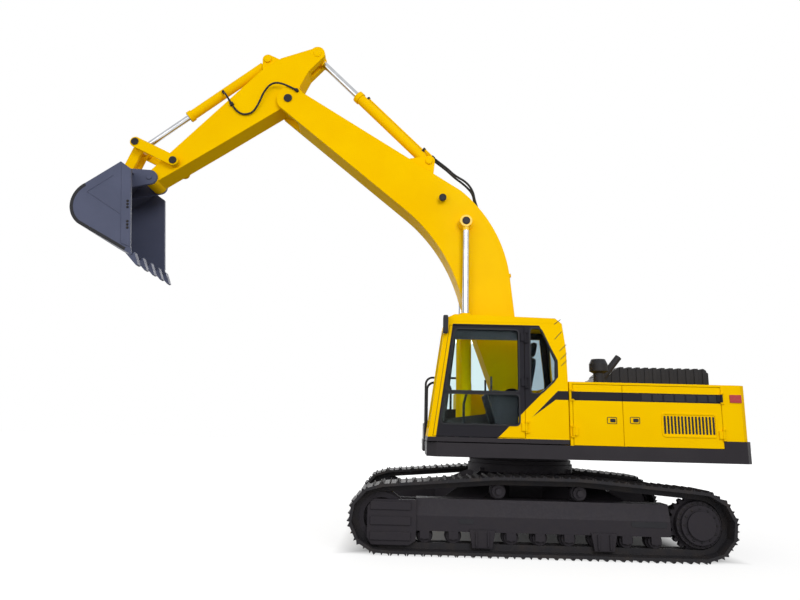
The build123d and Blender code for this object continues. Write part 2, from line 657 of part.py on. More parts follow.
def handrails():
    """The rail along the tool box's outer edge and the tank's front."""
    y = -HOUSE_HALF_WIDTH + 60
    high = tube([(1390, y, 1640), (1390, y, 2440), (600, y, 2440), (600, y, COVER_TOP_Z - 60)], 19, 120)
    y = -640
    low = tube([(1390, y, 1640), (1390, y, 2300), (1000, y, 2300), (1000, y, 1870)], 19, 120)
    return [high, low]


def pre_cleaner():
    """The bowl of the air pre-cleaner on its neck."""
    x, y = -976, 900
    profile = [(0, COVER_TOP_Z), (75, COVER_TOP_Z), (75, 2370), (127, 2400), (127, 2500), (95, 2569), (0, 2569)]
    bowl = revolve(Plane.XZ * make_face(Polyline(*profile, close=True)), Axis.Z)
    return Pos(x, y, 0) * bowl


def exhaust_pipe():
    """The exhaust: an upright stub with a slanted tip."""
    y = 680
    pipe = tube([(-1095, y, COVER_TOP_Z), (-1095, y, 2330), (-1339, y, 2634)], 48, 90)
    return pipe


def tail_lamps():
    """The red lamps at the tail's corners."""
    lamp = block(-2660, -2510, HOUSE_HALF_WIDTH, HOUSE_HALF_WIDTH + 14, 1978, 2080)
    return both(lamp)


# Cab

def cab_front(z):
    """The x of the cab's leaning front face at a height."""
    return CAB_FRONT_X - CAB_LEAN * (z - CAB_FLOOR_Z)


def cab_side():
    """The cab's side outline between its floor and its head rail."""
    return [
        (cab_front(CAB_SILL_Z), CAB_SILL_Z), (cab_front(CAB_HEAD_Z), CAB_HEAD_Z), (CAB_REAR_X + 60, CAB_HEAD_Z),
        (CAB_REAR_X + 13, 2622), (CAB_REAR_X, 2185), (CAB_REAR_X, CAB_SILL_Z),
    ]


def door_opening(gap):
    """The doorway's outline, drawn in by a gap."""
    low = CAB_SILL_Z + 6 + gap
    high = CAB_HEAD_Z - 50 - gap
    post_width = 62 + gap
    rear = DOOR_REAR_X - PANEL_GAP + gap
    return [(rear, low), (cab_front(low) - post_width, low), (cab_front(high) - post_width, high), (rear, high)]


def door_pane(low, high):
    """A door window's outline."""
    inset = 150
    rear = DOOR_REAR_X + 80
    return [(rear, low), (cab_front(low) - inset, low), (cab_front(high) - inset, high), (rear, high)]


def cab_floor():
    """The cab's floor on four rubber feet."""
    floor = slab([(CAB_REAR_X, CAB_FLOOR_Z), (CAB_FRONT_X, CAB_FLOOR_Z), (cab_front(CAB_SILL_Z), CAB_SILL_Z),
                  (CAB_REAR_X, CAB_SILL_Z)], CAB_IN_Y, CAB_OUT_Y)
    for x in (CAB_REAR_X + 150, CAB_FRONT_X - 200):
        for y in (CAB_IN_Y + 120, CAB_OUT_Y - 160):
            floor += post(x, y, 60, DECK_TOP_Z, CAB_FLOOR_Z)
    return floor


def cab_left_frame():
    """The cab's left side: front post, doorway, hinge post and quarter window."""
    side = slab(cab_side(), CAB_OUT_Y - CAB_DOOR_THICK, CAB_OUT_Y)
    side -= slab(door_opening(0), CAB_OUT_Y - CAB_DOOR_THICK - 1, CAB_OUT_Y + 1)
    side -= slab(QUARTER_PANE, CAB_OUT_Y - CAB_DOOR_THICK - 1, CAB_OUT_Y + 1)
    x, y = CAB_HINGE
    for z in CAB_HINGE_Z:
        side += post(x, y, HINGE_PIN, z - 75, z + 75)
        for end in (z - 75, z + 55):
            side += block(x - 40, x, CAB_OUT_Y - 5, y, end, end + 20)
            side += post(x, y, HINGE_KNUCKLE, end, end + 20)
    return side


def cab_right_wall():
    """The cab's right side with its long window."""
    wall = slab(cab_side(), CAB_IN_Y, CAB_IN_Y + CAB_WALL)
    return wall - slab(RIGHT_PANE, CAB_IN_Y - 1, CAB_IN_Y + CAB_WALL + 1)


def leaning(z_low, z_high, depth, back=0.0):
    """A strip along the leaning front, a depth thick."""
    return [
        (cab_front(z_low) - back, z_low), (cab_front(z_high) - back, z_high),
        (cab_front(z_high) - back - depth, z_high), (cab_front(z_low) - back - depth, z_low),
    ]


def cab_front_frame():
    """The frame round the windscreen."""
    y_low, y_high = CAB_IN_Y + CAB_WALL, CAB_OUT_Y - CAB_DOOR_THICK
    frame = slab(leaning(CAB_SILL_Z, CAB_HEAD_Z, CAB_WALL), y_low, y_high)
    return frame - slab(leaning(*WINDSCREEN_Z, CAB_WALL + 20, -10), *WINDSCREEN_Y)


def rear_strip(z_low, z_high, back, depth):
    """A strip along the cab's rear face."""
    def rear(z):
        return CAB_REAR_X + max(0.0, (z - 2185) * 0.06)
    return [(rear(z_low) + back, z_low), (rear(z_low) + back + depth, z_low),
            (rear(z_high) + back + depth, z_high), (rear(z_high) + back, z_high)]


def cab_rear_wall():
    """The cab's rear wall with its window."""
    y_low, y_high = CAB_IN_Y + CAB_WALL, CAB_OUT_Y - CAB_DOOR_THICK
    wall = block(CAB_REAR_X, CAB_REAR_X + CAB_WALL, y_low, y_high, CAB_SILL_Z, 2185)
    wall += slab(rear_strip(2185, CAB_HEAD_Z, 0, CAB_WALL), y_low, y_high)
    return wall - slab(rear_strip(*REAR_PANE_Z, -30, CAB_WALL + 60), y_low + 60, y_high - 60)


def cab_roof():
    """The roof panel with its sloped front and rear edges."""
    roof = slab([(cab_front(CAB_HEAD_Z), CAB_HEAD_Z), (1216, 3020), (1095, CAB_TOP_Z), (-252, CAB_TOP_Z - 30),
                 (CAB_REAR_X + 60, CAB_HEAD_Z)], CAB_IN_Y, CAB_OUT_Y)
    return roof


def cab_door():
    """The cab door with its two windows, hinged at its rear edge."""
    door = slab(door_opening(PANEL_GAP), CAB_OUT_Y - CAB_DOOR_THICK, CAB_OUT_Y)
    for low, high in DOOR_PANES:
        door -= slab(door_pane(low, high), CAB_OUT_Y - CAB_DOOR_THICK - 1, CAB_OUT_Y + 1)
    x, y = CAB_HINGE
    for z in CAB_HINGE_Z:
        door += post(x, y, HINGE_KNUCKLE, z - 50, z + 50)
        door += block(x, x + 60, CAB_OUT_Y + 3, y, z - 50, z + 50)
        door += block(DOOR_REAR_X + 4, x + 60, CAB_OUT_Y - 5, CAB_OUT_Y + 3, z - 50, z + 50)
        door -= post(x, y, HINGE_PIN + RUN_CLEAR, z - 51, z + 51)
    return door


def door_glass():
    """The two panes of the cab door."""
    y = CAB_OUT_Y - CAB_DOOR_THICK / 2
    return [slab(door_pane(low, high), y - GLASS / 2, y + GLASS / 2) for low, high in DOOR_PANES]


def cab_glass():
    """Windscreen, right, rear and quarter panes."""
    y = CAB_OUT_Y - CAB_DOOR_THICK / 2
    y_right = CAB_IN_Y + CAB_WALL / 2
    y_low, y_high = CAB_IN_Y + CAB_WALL, CAB_OUT_Y - CAB_DOOR_THICK
    return [
        slab(leaning(*WINDSCREEN_Z, GLASS, CAB_WALL / 2), *WINDSCREEN_Y),
        slab(QUARTER_PANE, y - GLASS / 2, y + GLASS / 2),
        slab(RIGHT_PANE, y_right - GLASS / 2, y_right + GLASS / 2),
        slab(rear_strip(*REAR_PANE_Z, CAB_WALL / 2, GLASS), y_low + 60, y_high - 60),
    ]


def seat():
    """The operator's seat: base, cushion, back and head rest."""
    middle = (CAB_IN_Y + CAB_OUT_Y) / 2
    shape = block(40, 420, middle - 160, middle + 160, CAB_SILL_Z, 1800)
    shape += block(0, 520, middle - 250, middle + 250, 1800, 1930)
    shape += slab([(60, 1930), (170, 1930), (40, 2560), (-70, 2540)], middle - 240, middle + 240)
    shape += slab([(-62, 2560), (20, 2570), (-10, 2780), (-90, 2770)], middle - 130, middle + 130)
    shape += slab([(-75, 2535), (35, 2558), (20, 2575), (-75, 2575)], middle - 40, middle + 40)
    return shape


def consoles():
    """The control boxes beside the seat and the travel levers' base."""
    middle = (CAB_IN_Y + CAB_OUT_Y) / 2
    shapes = []
    for y in (middle - 380, middle + 270):
        box = slab([(60, CAB_SILL_Z), (480, CAB_SILL_Z), (640, 2020), (560, 2080), (60, 2000)], y, y + 110)
        box += post(590, y + 55, 14, 2050, 2260)
        shapes.append(box)
    pedals = block(860, 1000, middle - 130, middle + 130, CAB_SILL_Z, 1490)
    for y in (middle - 70, middle + 70):
        pedals += tube([(930, y, 1490), (930, y, 1900), (880, y, 2080)], 12, 60)
    shapes.append(pedals)
    return shapes


# Hydraulic cylinders

def cylinder_axis(base, pin):
    """A cylinder's length and its angle above level."""
    return hypot(pin[0] - base[0], pin[1] - base[1]), degrees(atan2(pin[1] - base[1], pin[0] - base[0]))


def barrel(base, pin, size, y):
    """A barrel with its base eye and gland, lying from its base pin towards its rod pin."""
    angle = cylinder_axis(base, pin)[1]
    shape = disc(0, 0, EYE_RADIUS, -EYE_HALF, EYE_HALF)
    shape += bar(0, 0, EYE_HALF - 2, EYE_RADIUS - 35, EYE_RADIUS + 45)
    shape += bar(0, 0, size.barrel_radius, EYE_RADIUS + 25, size.barrel_length)
    head = size.barrel_length - GLAND_LENGTH
    shape += bar(0, 0, size.barrel_radius + GLAND_PROUD, head, size.barrel_length)
    shape -= bar(0, 0, size.barrel_radius - BARREL_WALL, 150, head)
    shape -= bar(0, 0, size.rod_radius + RUN_CLEAR, head - 1, size.barrel_length + 1)
    shape -= disc(0, 0, PIN_RADIUS + RUN_CLEAR, -EYE_HALF - 1, EYE_HALF + 1)
    return Pos(0, y, 0) * raised(base, angle, shape)


def rod(base, pin, size, y):
    """A rod with its piston and its solid eye, which holds its own pin."""
    length, angle = cylinder_axis(base, pin)
    start = length - size.rod_length
    shape = bar(0, 0, size.rod_radius, start, length - 60)
    shape += bar(0, 0, size.barrel_radius - BARREL_WALL - RUN_CLEAR, start, start + 60)
    shape += disc(length, 0, EYE_RADIUS, -EYE_HALF, EYE_HALF)
    return Pos(0, y, 0) * raised(base, angle, shape)


# Boom, arm and bucket

def boom_face():
    """The boom's side outline: an arched box from the foot boss to the nose."""
    foot_top, arch_start, arch_end = (-100.0, 171.0), (1600.0, 1180.0), (3120.0, 1370.0)
    nose_top, nose_low = (6060.0, 255.0), (6060.0, -195.0)
    belly_end, belly_start, foot_low = (3400.0, 450.0), (1700.0, 330.0), (90.0, -180.0)
    edges = [
        Line(foot_top, arch_start),
        ThreePointArc(arch_start, (2330, 1412), arch_end),
        Line(arch_end, nose_top),
        ThreePointArc(nose_top, (BOOM_LENGTH + BOOM_NOSE_RADIUS, 20), nose_low),
        Line(nose_low, belly_end),
        ThreePointArc(belly_end, (2580, 527), belly_start),
        Line(belly_start, foot_low),
        ThreePointArc(foot_low, (-BOOM_FOOT_RADIUS, -15), foot_top),
    ]
    return make_face(Curve() + edges)


def boom():
    """The boom with its foot tube, nose fork, rod bosses and arm-cylinder ears."""
    shape = prism(boom_face(), -BOOM_HALF, BOOM_HALF)
    foot_half = BRACKET_INNER - SIDE_CLEAR
    shape += disc(0, 0, BOOM_FOOT_RADIUS - 30, -foot_half, foot_half)
    shape -= disc(0, 0, FOOT_PIN_RADIUS + RUN_CLEAR, -foot_half - 1, foot_half + 1)
    fork = ARM_HALF + 10
    shape -= disc(BOOM_LENGTH, 0, FORK_RADIUS, -fork, fork)
    shape += disc(BOOM_LENGTH, 0, PIN_RADIUS + 10, -BOOM_HALF - 15, BOOM_HALF + 15)
    for side in (1, -1):
        low, high = sorted((side * BOOM_HALF, side * (BOOM_CYLINDER_Y - EYE_HALF - SIDE_CLEAR)))
        shape += disc(BOOM_ROD_LOCAL[0], BOOM_ROD_LOCAL[1], 120, low, high)
    ear = hull_face([(ARM_BASE_LOCAL[0], ARM_BASE_LOCAL[1], 95), (3600, 1130, 30), (4120, 950, 30)])
    shape += clevis(ear, *ARM_BASE_LOCAL, ARM_CYLINDER.barrel_radius)
    return raised(FOOT, BOOM_RAISE, shape)


def arm():
    """The arm with its rear fork, bucket-cylinder ears and tip boss."""
    rear_x, rear_z = ARM_ROD_LOCAL
    outline = [
        (rear_x + 30, rear_z + 121), (-287, 759), (96, 744), (ARM_LENGTH - 40, 124), (ARM_LENGTH, -100),
        (1361, -80), (170, -52), (-120, -95), (-282, 127), (-549, 297), (rear_x - 60, rear_z - 110),
    ]
    shape = slab(outline, -ARM_HALF, ARM_HALF)
    shape += disc(rear_x, rear_z, 125, -ARM_HALF, ARM_HALF)
    shape += disc(0, 0, 150, -ARM_HALF - 4, ARM_HALF + 4)
    shape += disc(ARM_LENGTH, 0, 125, -ARM_HALF - 10, ARM_HALF + 10)
    slot = EYE_HALF + SIDE_CLEAR
    shape -= disc(rear_x, rear_z, 330, -slot, slot)
    shape -= disc(0, 0, PIN_RADIUS + 10 + RUN_CLEAR, -ARM_HALF - 20, ARM_HALF + 20)
    shape -= disc(ARM_LENGTH, 0, PIN_RADIUS + RUN_CLEAR, -ARM_HALF - 20, ARM_HALF + 20)
    base_x, base_z = BUCKET_BASE_LOCAL
    ear = hull_face([(base_x, base_z, 90), (base_x - 190, 730, 20), (base_x + 200, 700, 20)])
    shape += clevis(ear, base_x, base_z, BUCKET_CYLINDER.barrel_radius)
    rocker_x, rocker_z = ROCKER_LOCAL
    boss_end = ROCKER_INNER - SIDE_CLEAR
    shape += disc(rocker_x, rocker_z, ROCKER_BOSS, -boss_end, boss_end)
    shape += disc(rocker_x, rocker_z, PIN_RADIUS, -ROCKER_OUTER - 10, ROCKER_OUTER + 10)
    return raised(NOSE, ARM_SLOPE, shape)


def rockers():
    """The two rocker plates beside the arm, each with its half of the knee pin and a spacer on it."""
    plate = hull_face([(ROCKER_PIN[0], ROCKER_PIN[1], 85), (KNEE_PIN[0], KNEE_PIN[1], 85)])
    one = prism(plate, ROCKER_INNER, ROCKER_OUTER)
    one += disc(KNEE_PIN[0], KNEE_PIN[1], PIN_RADIUS, EYE_HALF + SIDE_CLEAR, ROCKER_OUTER + 10)
    one += disc(KNEE_PIN[0], KNEE_PIN[1], PIN_RADIUS + 20, LINK_OUTER + SIDE_CLEAR, ROCKER_INNER)
    one -= disc(ROCKER_PIN[0], ROCKER_PIN[1], PIN_RADIUS + RUN_CLEAR, ROCKER_INNER - 1, ROCKER_OUTER + 1)
    return both(one)


def bucket_link():
    """The forked link from the knee to the bucket."""
    inner, outer = LINK_INNER, LINK_OUTER
    arm_plate = hull_face([(KNEE_PIN[0], KNEE_PIN[1], 82), (LINK_PIN[0], LINK_PIN[1], 82)])
    link = prism(arm_plate, inner, outer) + prism(arm_plate, -outer, -inner)
    link += disc(LINK_PIN[0], LINK_PIN[1], 82, -BUCKET_EAR_INNER + SIDE_CLEAR, BUCKET_EAR_INNER - SIDE_CLEAR)
    link -= disc(KNEE_PIN[0], KNEE_PIN[1], PIN_RADIUS + RUN_CLEAR, -outer - 1, outer + 1)
    return link


def bucket_point(x, z):
    """A point given from the bucket pin."""
    return (BUCKET_PIN[0] + x, BUCKET_PIN[1] + z)


def bucket_back(inset):
    """The wrapper's line from the top edge round the back to the lip, drawn in by an inset."""
    top = bucket_point(270 - 0.6 * inset, 62 - 0.8 * inset)
    shoulder = bucket_point(789 - 0.8 * inset, -309 - 0.6 * inset)
    rear = bucket_point(979 - inset, -669)
    heel = bucket_point(825 - 0.5 * inset, -959 + 0.86 * inset)
    lip = bucket_point(-60 - 0.5 * inset, -1440 + 0.86 * inset)
    return top, shoulder, rear, heel, lip


def bucket():
    """The bucket: a curved wrapper between side plates, with ears on its top and side cutters."""
    top, shoulder, rear, heel, lip = bucket_back(0)
    in_top, in_shoulder, in_rear, in_heel, in_lip = bucket_back(BUCKET_PLATE)
    wrapper = make_face(Curve() + [
        Line(top, shoulder), ThreePointArc(shoulder, rear, heel), Line(heel, lip), Line(lip, in_lip),
        Line(in_lip, in_heel), ThreePointArc(in_heel, in_rear, in_shoulder), Line(in_shoulder, in_top), Line(in_top, top),
    ])
    shell = prism(wrapper, -BUCKET_HALF, BUCKET_HALF)
    cheek = make_face(Curve() + [
        Line(top, shoulder), ThreePointArc(shoulder, rear, heel), Line(heel, lip),
        Line(lip, bucket_point(-34, -1322)), Line(bucket_point(-34, -1322), bucket_point(91, -63)),
        Line(bucket_point(91, -63), top),
    ])
    for y in (BUCKET_HALF - BUCKET_PLATE, -BUCKET_HALF):
        shell += prism(cheek, y, y + BUCKET_PLATE)
    ear = hull_face([(*BUCKET_PIN, 120), (*LINK_PIN, 105), (*bucket_point(300, 20), 20), (*bucket_point(690, -255), 20)])
    ear -= Pos(*BUCKET_PIN) * Circle(PIN_RADIUS)
    for y in (BUCKET_EAR_INNER, -BUCKET_EAR_OUTER):
        shell += prism(ear, y, y + BUCKET_EAR_OUTER - BUCKET_EAR_INNER)
    shell += disc(*BUCKET_PIN, PIN_RADIUS, -BUCKET_PIN_END, BUCKET_PIN_END)
    return shell


def bucket_teeth():
    """Five tapered teeth on the lip."""
    lip = bucket_back(0)[4]
    in_lip = bucket_back(BUCKET_PLATE)[4]
    shapes = []
    for i in range(5):
        y = (i - 2) * 315
        root_a = (lip[0] + 100 * 0.86 + 12, lip[1] + 100 * 0.51 - 22)
        tip = (lip[0] - 110, lip[1] - 150)
        tooth = slab([root_a, lip, in_lip, (in_lip[0] - 20, in_lip[1] + 20), tip, (tip[0] + 30, tip[1] - 8)], y - 55, y + 55)
        shapes.append(tooth)
    return shapes


def slewing_rings():
    """The slewing ring: the lower race on the carbody and the upper race under the deck."""
    lower = post(0, 0, RING_RADIUS, RING_LOW_Z, RING_SPLIT_Z) - post(0, 0, RING_HOLE, RING_LOW_Z - 1, RING_SPLIT_Z + 1)
    low = RING_SPLIT_Z + RUN_CLEAR
    upper = post(0, 0, RING_RADIUS - 40, low, DECK_UNDER_Z) - post(0, 0, RING_HOLE, low - 1, DECK_UNDER_Z + 1)
    return lower, upper


def main():
    """Build every node and write its file."""
    os.makedirs("parts", exist_ok=True)
    save("carbody", carbody())
    lower_race, upper_race = slewing_rings()
    save("slewing_ring_lower", lower_race)
    save("slewing_ring_upper", upper_race)
    save("track_frames", *track_frames())
    save("track_left", track(1))
    save("track_right", track(-1))
    save("sprockets", *sprockets())
    save("idlers", *idlers())
    save("bottom_rollers", *bottom_rollers())
    save("carrier_rollers", *carrier_rollers())
    save("tow_lugs", *tow_lugs())
    save("main_frame", main_frame())
    save("boom_brackets", boom_brackets())
    save("counterweight", counterweight())
    save("counterweight_bumper", counterweight_bumper())
    save("engine_hood", engine_hood())
    save("deck_covers", deck_covers())
    front, rear, right = SIDE_HINGES
    split = SIDE_DOOR_SPLIT_X
    save("side_door_left_front", side_door(split + PANEL_GAP / 2, FIREWALL_X - 46, front))
    save("side_door_left_rear", side_door(DECK_REAR_X + PANEL_GAP, split - PANEL_GAP / 2, rear))
    save("side_door_right", side_door(DECK_REAR_X + PANEL_GAP, split - PANEL_GAP / 2, right))
    save("engine_block", engine_block())
    save("tanks", *tanks())
    save("tool_box", tool_box())
    save("handrails", *handrails())
    save("pre_cleaner", pre_cleaner())
    save("exhaust_pipe", exhaust_pipe())
    save("tail_lamps", *tail_lamps())
    save("cab_floor", cab_floor())
    save("cab_left_frame", cab_left_frame())
    save("cab_right_wall", cab_right_wall())
    save("cab_front_frame", cab_front_frame())
    save("cab_rear_wall", cab_rear_wall())
    save("cab_roof", cab_roof())
    save("cab_door", cab_door())
    save("door_glass", *door_glass())
    save("cab_glass", *cab_glass())
    save("seat", seat())
    save("consoles", *consoles())
    save("boom", boom())
    save("arm", arm())
    save("bucket", bucket())
    save("bucket_teeth", *bucket_teeth())
    save("rockers", *rockers())
    save("bucket_link", bucket_link())
    pairs = (
        ("boom_cylinder", BOOM_CYLINDER_BASE, BOOM_ROD_PIN, BOOM_CYLINDER, (BOOM_CYLINDER_Y, -BOOM_CYLINDER_Y)),
        ("arm_cylinder", ARM_BASE_PIN, ARM_ROD_PIN, ARM_CYLINDER, (0.0,)),
        ("bucket_cylinder", BUCKET_BASE_PIN, KNEE_PIN, BUCKET_CYLINDER, (0.0,)),
    )
    for name, base, pin, size, places in pairs:
        save(f"{name}_barrel", *[barrel(base, pin, size, y) for y in places])
        save(f"{name}_rod", *[rod(base, pin, size, y) for y in places])
    for name, point in (("nose", NOSE), ("boom rod", BOOM_ROD_PIN), ("arm base", ARM_BASE_PIN),
                        ("arm rod", ARM_ROD_PIN), ("bucket base", BUCKET_BASE_PIN), ("rocker", ROCKER_PIN),
                        ("knee", KNEE_PIN), ("bucket", BUCKET_PIN), ("link", LINK_PIN)):
        print(f"{name} pin at x {point[0]:.1f}, z {point[1]:.1f}")


main()
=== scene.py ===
"""Looks of the crawler excavator: camera, light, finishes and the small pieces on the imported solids.

Metres, in the machine's own frame: +X to its front, +Y to its left (the cab's side), +Z up.
"""

from __future__ import annotations

import json
import logging
from dataclasses import dataclass, field
from enum import Enum
from math import cos, sin
from typing import Sequence

import bmesh
import bpy
import numpy as np
from mathutils import Matrix, Vector

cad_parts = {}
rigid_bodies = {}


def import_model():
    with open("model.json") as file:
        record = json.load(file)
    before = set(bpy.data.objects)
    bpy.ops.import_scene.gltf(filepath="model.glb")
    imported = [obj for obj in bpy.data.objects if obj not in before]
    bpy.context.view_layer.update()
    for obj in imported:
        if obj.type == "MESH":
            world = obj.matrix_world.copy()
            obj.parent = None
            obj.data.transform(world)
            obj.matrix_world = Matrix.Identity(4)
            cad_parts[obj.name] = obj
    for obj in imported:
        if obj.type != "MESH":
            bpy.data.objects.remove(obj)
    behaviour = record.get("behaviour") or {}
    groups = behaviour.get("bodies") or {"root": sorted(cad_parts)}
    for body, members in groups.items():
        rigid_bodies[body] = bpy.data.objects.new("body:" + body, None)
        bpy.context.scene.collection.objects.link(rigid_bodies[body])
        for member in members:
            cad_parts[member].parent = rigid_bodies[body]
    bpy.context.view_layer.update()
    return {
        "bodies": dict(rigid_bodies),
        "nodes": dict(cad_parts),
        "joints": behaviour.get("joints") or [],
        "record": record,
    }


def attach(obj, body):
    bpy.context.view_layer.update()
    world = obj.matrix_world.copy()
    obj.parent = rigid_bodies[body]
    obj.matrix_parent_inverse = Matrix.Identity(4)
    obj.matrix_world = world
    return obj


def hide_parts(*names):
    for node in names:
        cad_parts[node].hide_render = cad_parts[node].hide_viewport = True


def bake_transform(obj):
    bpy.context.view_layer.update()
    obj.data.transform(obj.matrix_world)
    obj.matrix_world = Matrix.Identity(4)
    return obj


LOG = logging.getLogger("excavator")

Colour = tuple[float, float, float]
Point = tuple[float, float, float]
Row = tuple[float, float, float]
Flat = tuple[float, float]
Box = tuple[float, float, float, float]
Lines = tuple[Row, ...]
Socket = bpy.types.NodeSocket

YELLOW: Colour = (0.93, 0.56, 0.0)
YELLOW_SHADE: Colour = (0.9, 0.52, 0.0)
CHARCOAL: Colour = (0.025, 0.022, 0.026)
CHARCOAL_SHADE: Colour = (0.031, 0.028, 0.032)


class Shader:
    """A material's node tree, with short calls that add nodes and join them."""

    EDGE_SAMPLES = 4

    def __init__(self, name: str) -> None:
        """Start an empty tree with an output and a Principled shader."""
        self.material = bpy.data.materials.new(name)
        self.material.use_nodes = True
        self.tree = self.material.node_tree
        self.tree.nodes.clear()
        self.body = self.node("BsdfPrincipled")
        self.node("OutputMaterial", Surface=self.body.outputs[0])
        self.place = self.node("TexCoord").outputs["Object"]

    def feed(self, socket: Socket, value: object) -> None:
        """Join an input to another node's output, or set it to a plain value."""
        if isinstance(value, Socket):
            self.tree.links.new(value, socket)
        else:
            socket.default_value = value

    def fill(self, node: bpy.types.Node, **values: object) -> bpy.types.Node:
        """Feed a node's inputs by name, with spaces as underscores."""
        for name, value in values.items():
            self.feed(node.inputs[name.replace("_", " ")], value)
        return node

    def node(self, kind: str, **values: object) -> bpy.types.Node:
        """Add a node by its type without the ShaderNode prefix, and feed its inputs."""
        return self.fill(self.tree.nodes.new("ShaderNode" + kind), **values)

    def set(self, **values: object) -> None:
        """Feed inputs of the Principled shader."""
        self.fill(self.body, **values)

    def stretched(self, scale: Point) -> Socket:
        """Object coordinates scaled on each axis."""
        return self.node("Mapping", Vector=self.place, Scale=scale).outputs[0]

    def noise(self, scale: float, detail: float = 3.0, place: Socket | None = None) -> Socket:
        """Smooth noise from 0 to 1, in waves per metre."""
        return self.node("TexNoise", Vector=place or self.place, Scale=scale, Detail=detail).outputs["Fac"]

    def math(self, operation: str, a: object, b: object = 0.0) -> Socket:
        """One arithmetic step on two values or sockets."""
        node = self.node("Math")
        node.operation = operation
        self.feed(node.inputs[0], a)
        self.feed(node.inputs[1], b)
        return node.outputs[0]

    def span(self, value: Socket, low: float, high: float, to_low: float = 0.0,
             to_high: float = 1.0) -> Socket:
        """A value carried from one range to another and held at its ends."""
        node = self.node("MapRange", Value=value, From_Min=low, From_Max=high, To_Min=to_low, To_Max=to_high)
        return node.outputs[0]

    def mix(self, share: object, first: object, second: object) -> Socket:
        """A blend of two colours, from the first at 0 to the second at 1."""
        node = self.node("Mix")
        node.data_type = "RGBA"
        self.feed(node.inputs[0], share)
        for socket, colour in zip((node.inputs[6], node.inputs[7]), (first, second)):
            self.feed(socket, (*colour, 1.0) if isinstance(colour, tuple) else colour)
        return node.outputs[2]

    def axis(self, name: str) -> Socket:
        """One of the Object coordinates, X, Y or Z."""
        return self.node("SeparateXYZ", Vector=self.place).outputs[name]

    def upward(self) -> Socket:
        """How far a surface faces up, from 0 on walls and undersides to 1 on flat tops."""
        normal = self.node("NewGeometry").outputs["Normal"]
        return self.math("MAXIMUM", self.node("SeparateXYZ", Vector=normal).outputs["Z"], 0.0)

    def inside(self, lines: Lines) -> Socket:
        """A mask of the area inside straight lines of the side view.

        Args:
            lines: Rows (a, b, c); a point is inside where a x + b z + c is above 0 in every row.

        Returns:
            A socket that is 1 inside and 0 outside.
        """
        least: object = 1.0
        for a, b, c in lines:
            along = self.node("VectorMath", Vector=self.place)
            along.operation = "DOT_PRODUCT"
            along.inputs[1].default_value = (a, 0.0, b)
            least = self.math("MINIMUM", self.math("ADD", along.outputs["Value"], c), least)
        return self.math("GREATER_THAN", least, 0.0)

    def bump(self, height: Socket, strength: float, depth: float, edge: float = 0.0) -> None:
        """Raise the surface by a height and round its hard edges.

        Args:
            height: Height from 0 to 1.
            strength: Share of the height that shows.
            depth: Height of 1, in metres.
            edge: Radius that hard edges look rounded by, in metres, or 0.
        """
        node = self.node("Bump", Height=height, Strength=strength, Distance=depth)
        if edge:
            rounded = self.node("Bevel", Radius=edge)
            rounded.samples = self.EDGE_SAMPLES
            self.feed(node.inputs["Normal"], rounded.outputs[0])
        self.set(Normal=node.outputs[0])


@dataclass(frozen=True)
class Coating:
    """A named finish, which sets up a shader of its own."""

    name: str

    def dress(self, shader: Shader) -> None:
        """Set the shader's inputs."""
        raise NotImplementedError

    def material(self) -> bpy.types.Material:
        """Make the material."""
        shader = Shader(self.name)
        self.dress(shader)
        return shader.material


@dataclass(frozen=True)
class Paint(Coating):
    """Sprayed enamel: a fine orange peel, faint cloudiness, and dust on what faces up."""

    colour: Colour
    shade: Colour
    dust: Colour = (0.42, 0.36, 0.28)
    dustiness: float = 0.06
    gloss: Flat = (0.3, 0.44)
    coat: float = 0.015
    coat_gloss: float = 0.12
    shine: float = 0.002
    edge: float = 0.008
    patchy: Flat = (0.3, 0.75)

    def colour_of(self, shader: Shader) -> Socket:
        """The paint's colour before dust."""
        return shader.mix(shader.span(shader.noise(1.7, 4.0), 0.35, 0.7), self.colour, self.shade)

    def dress(self, shader: Shader) -> None:
        """Set the colour, the film of dust, the gloss and the orange peel."""
        patches = shader.noise(9.0, 6.0)
        film = shader.math("MULTIPLY", shader.upward(), shader.span(patches, *self.patchy))
        share = shader.math("MULTIPLY", film, self.dustiness)
        shader.set(
            Base_Color=shader.mix(share, self.colour_of(shader), self.dust),
            Roughness=shader.span(patches, *self.patchy, *self.gloss),
            Specular_IOR_Level=self.shine,
            Coat_Weight=self.coat,
            Coat_Roughness=self.coat_gloss,
        )
        shader.bump(shader.noise(160.0, 2.0), 0.03, 0.0012, self.edge)


@dataclass(frozen=True)
class SidePaint(Paint):
    """The left side's paint: dark fields, each inside straight lines of the side view, on the body colour."""

    dark: Colour = (0.026, 0.025, 0.03)
    fields: tuple[Lines, ...] = ()

    def colour_of(self, shader: Shader) -> Socket:
        """Body colour outside the fields, the dark colour inside them."""
        share: object = 0.0
        for lines in self.fields:
            share = shader.math("MAXIMUM", shader.inside(lines), share)
        return shader.mix(share, super().colour_of(shader), self.dark)


@dataclass(frozen=True)
class LinedPaint(Paint):
    """A cab wall's paint: the body colour outside, and a dark lining beyond a limit on the axis across it."""

    axis: str = "Y"
    limit: float = 0.0
    lining: Colour = (0.05, 0.047, 0.045)

    def colour_of(self, shader: Shader) -> Socket:
        """Body colour up to the limit, the lining's colour beyond it."""
        share = shader.math("GREATER_THAN", shader.axis(self.axis), self.limit)
        return shader.mix(share, super().colour_of(shader), self.lining)


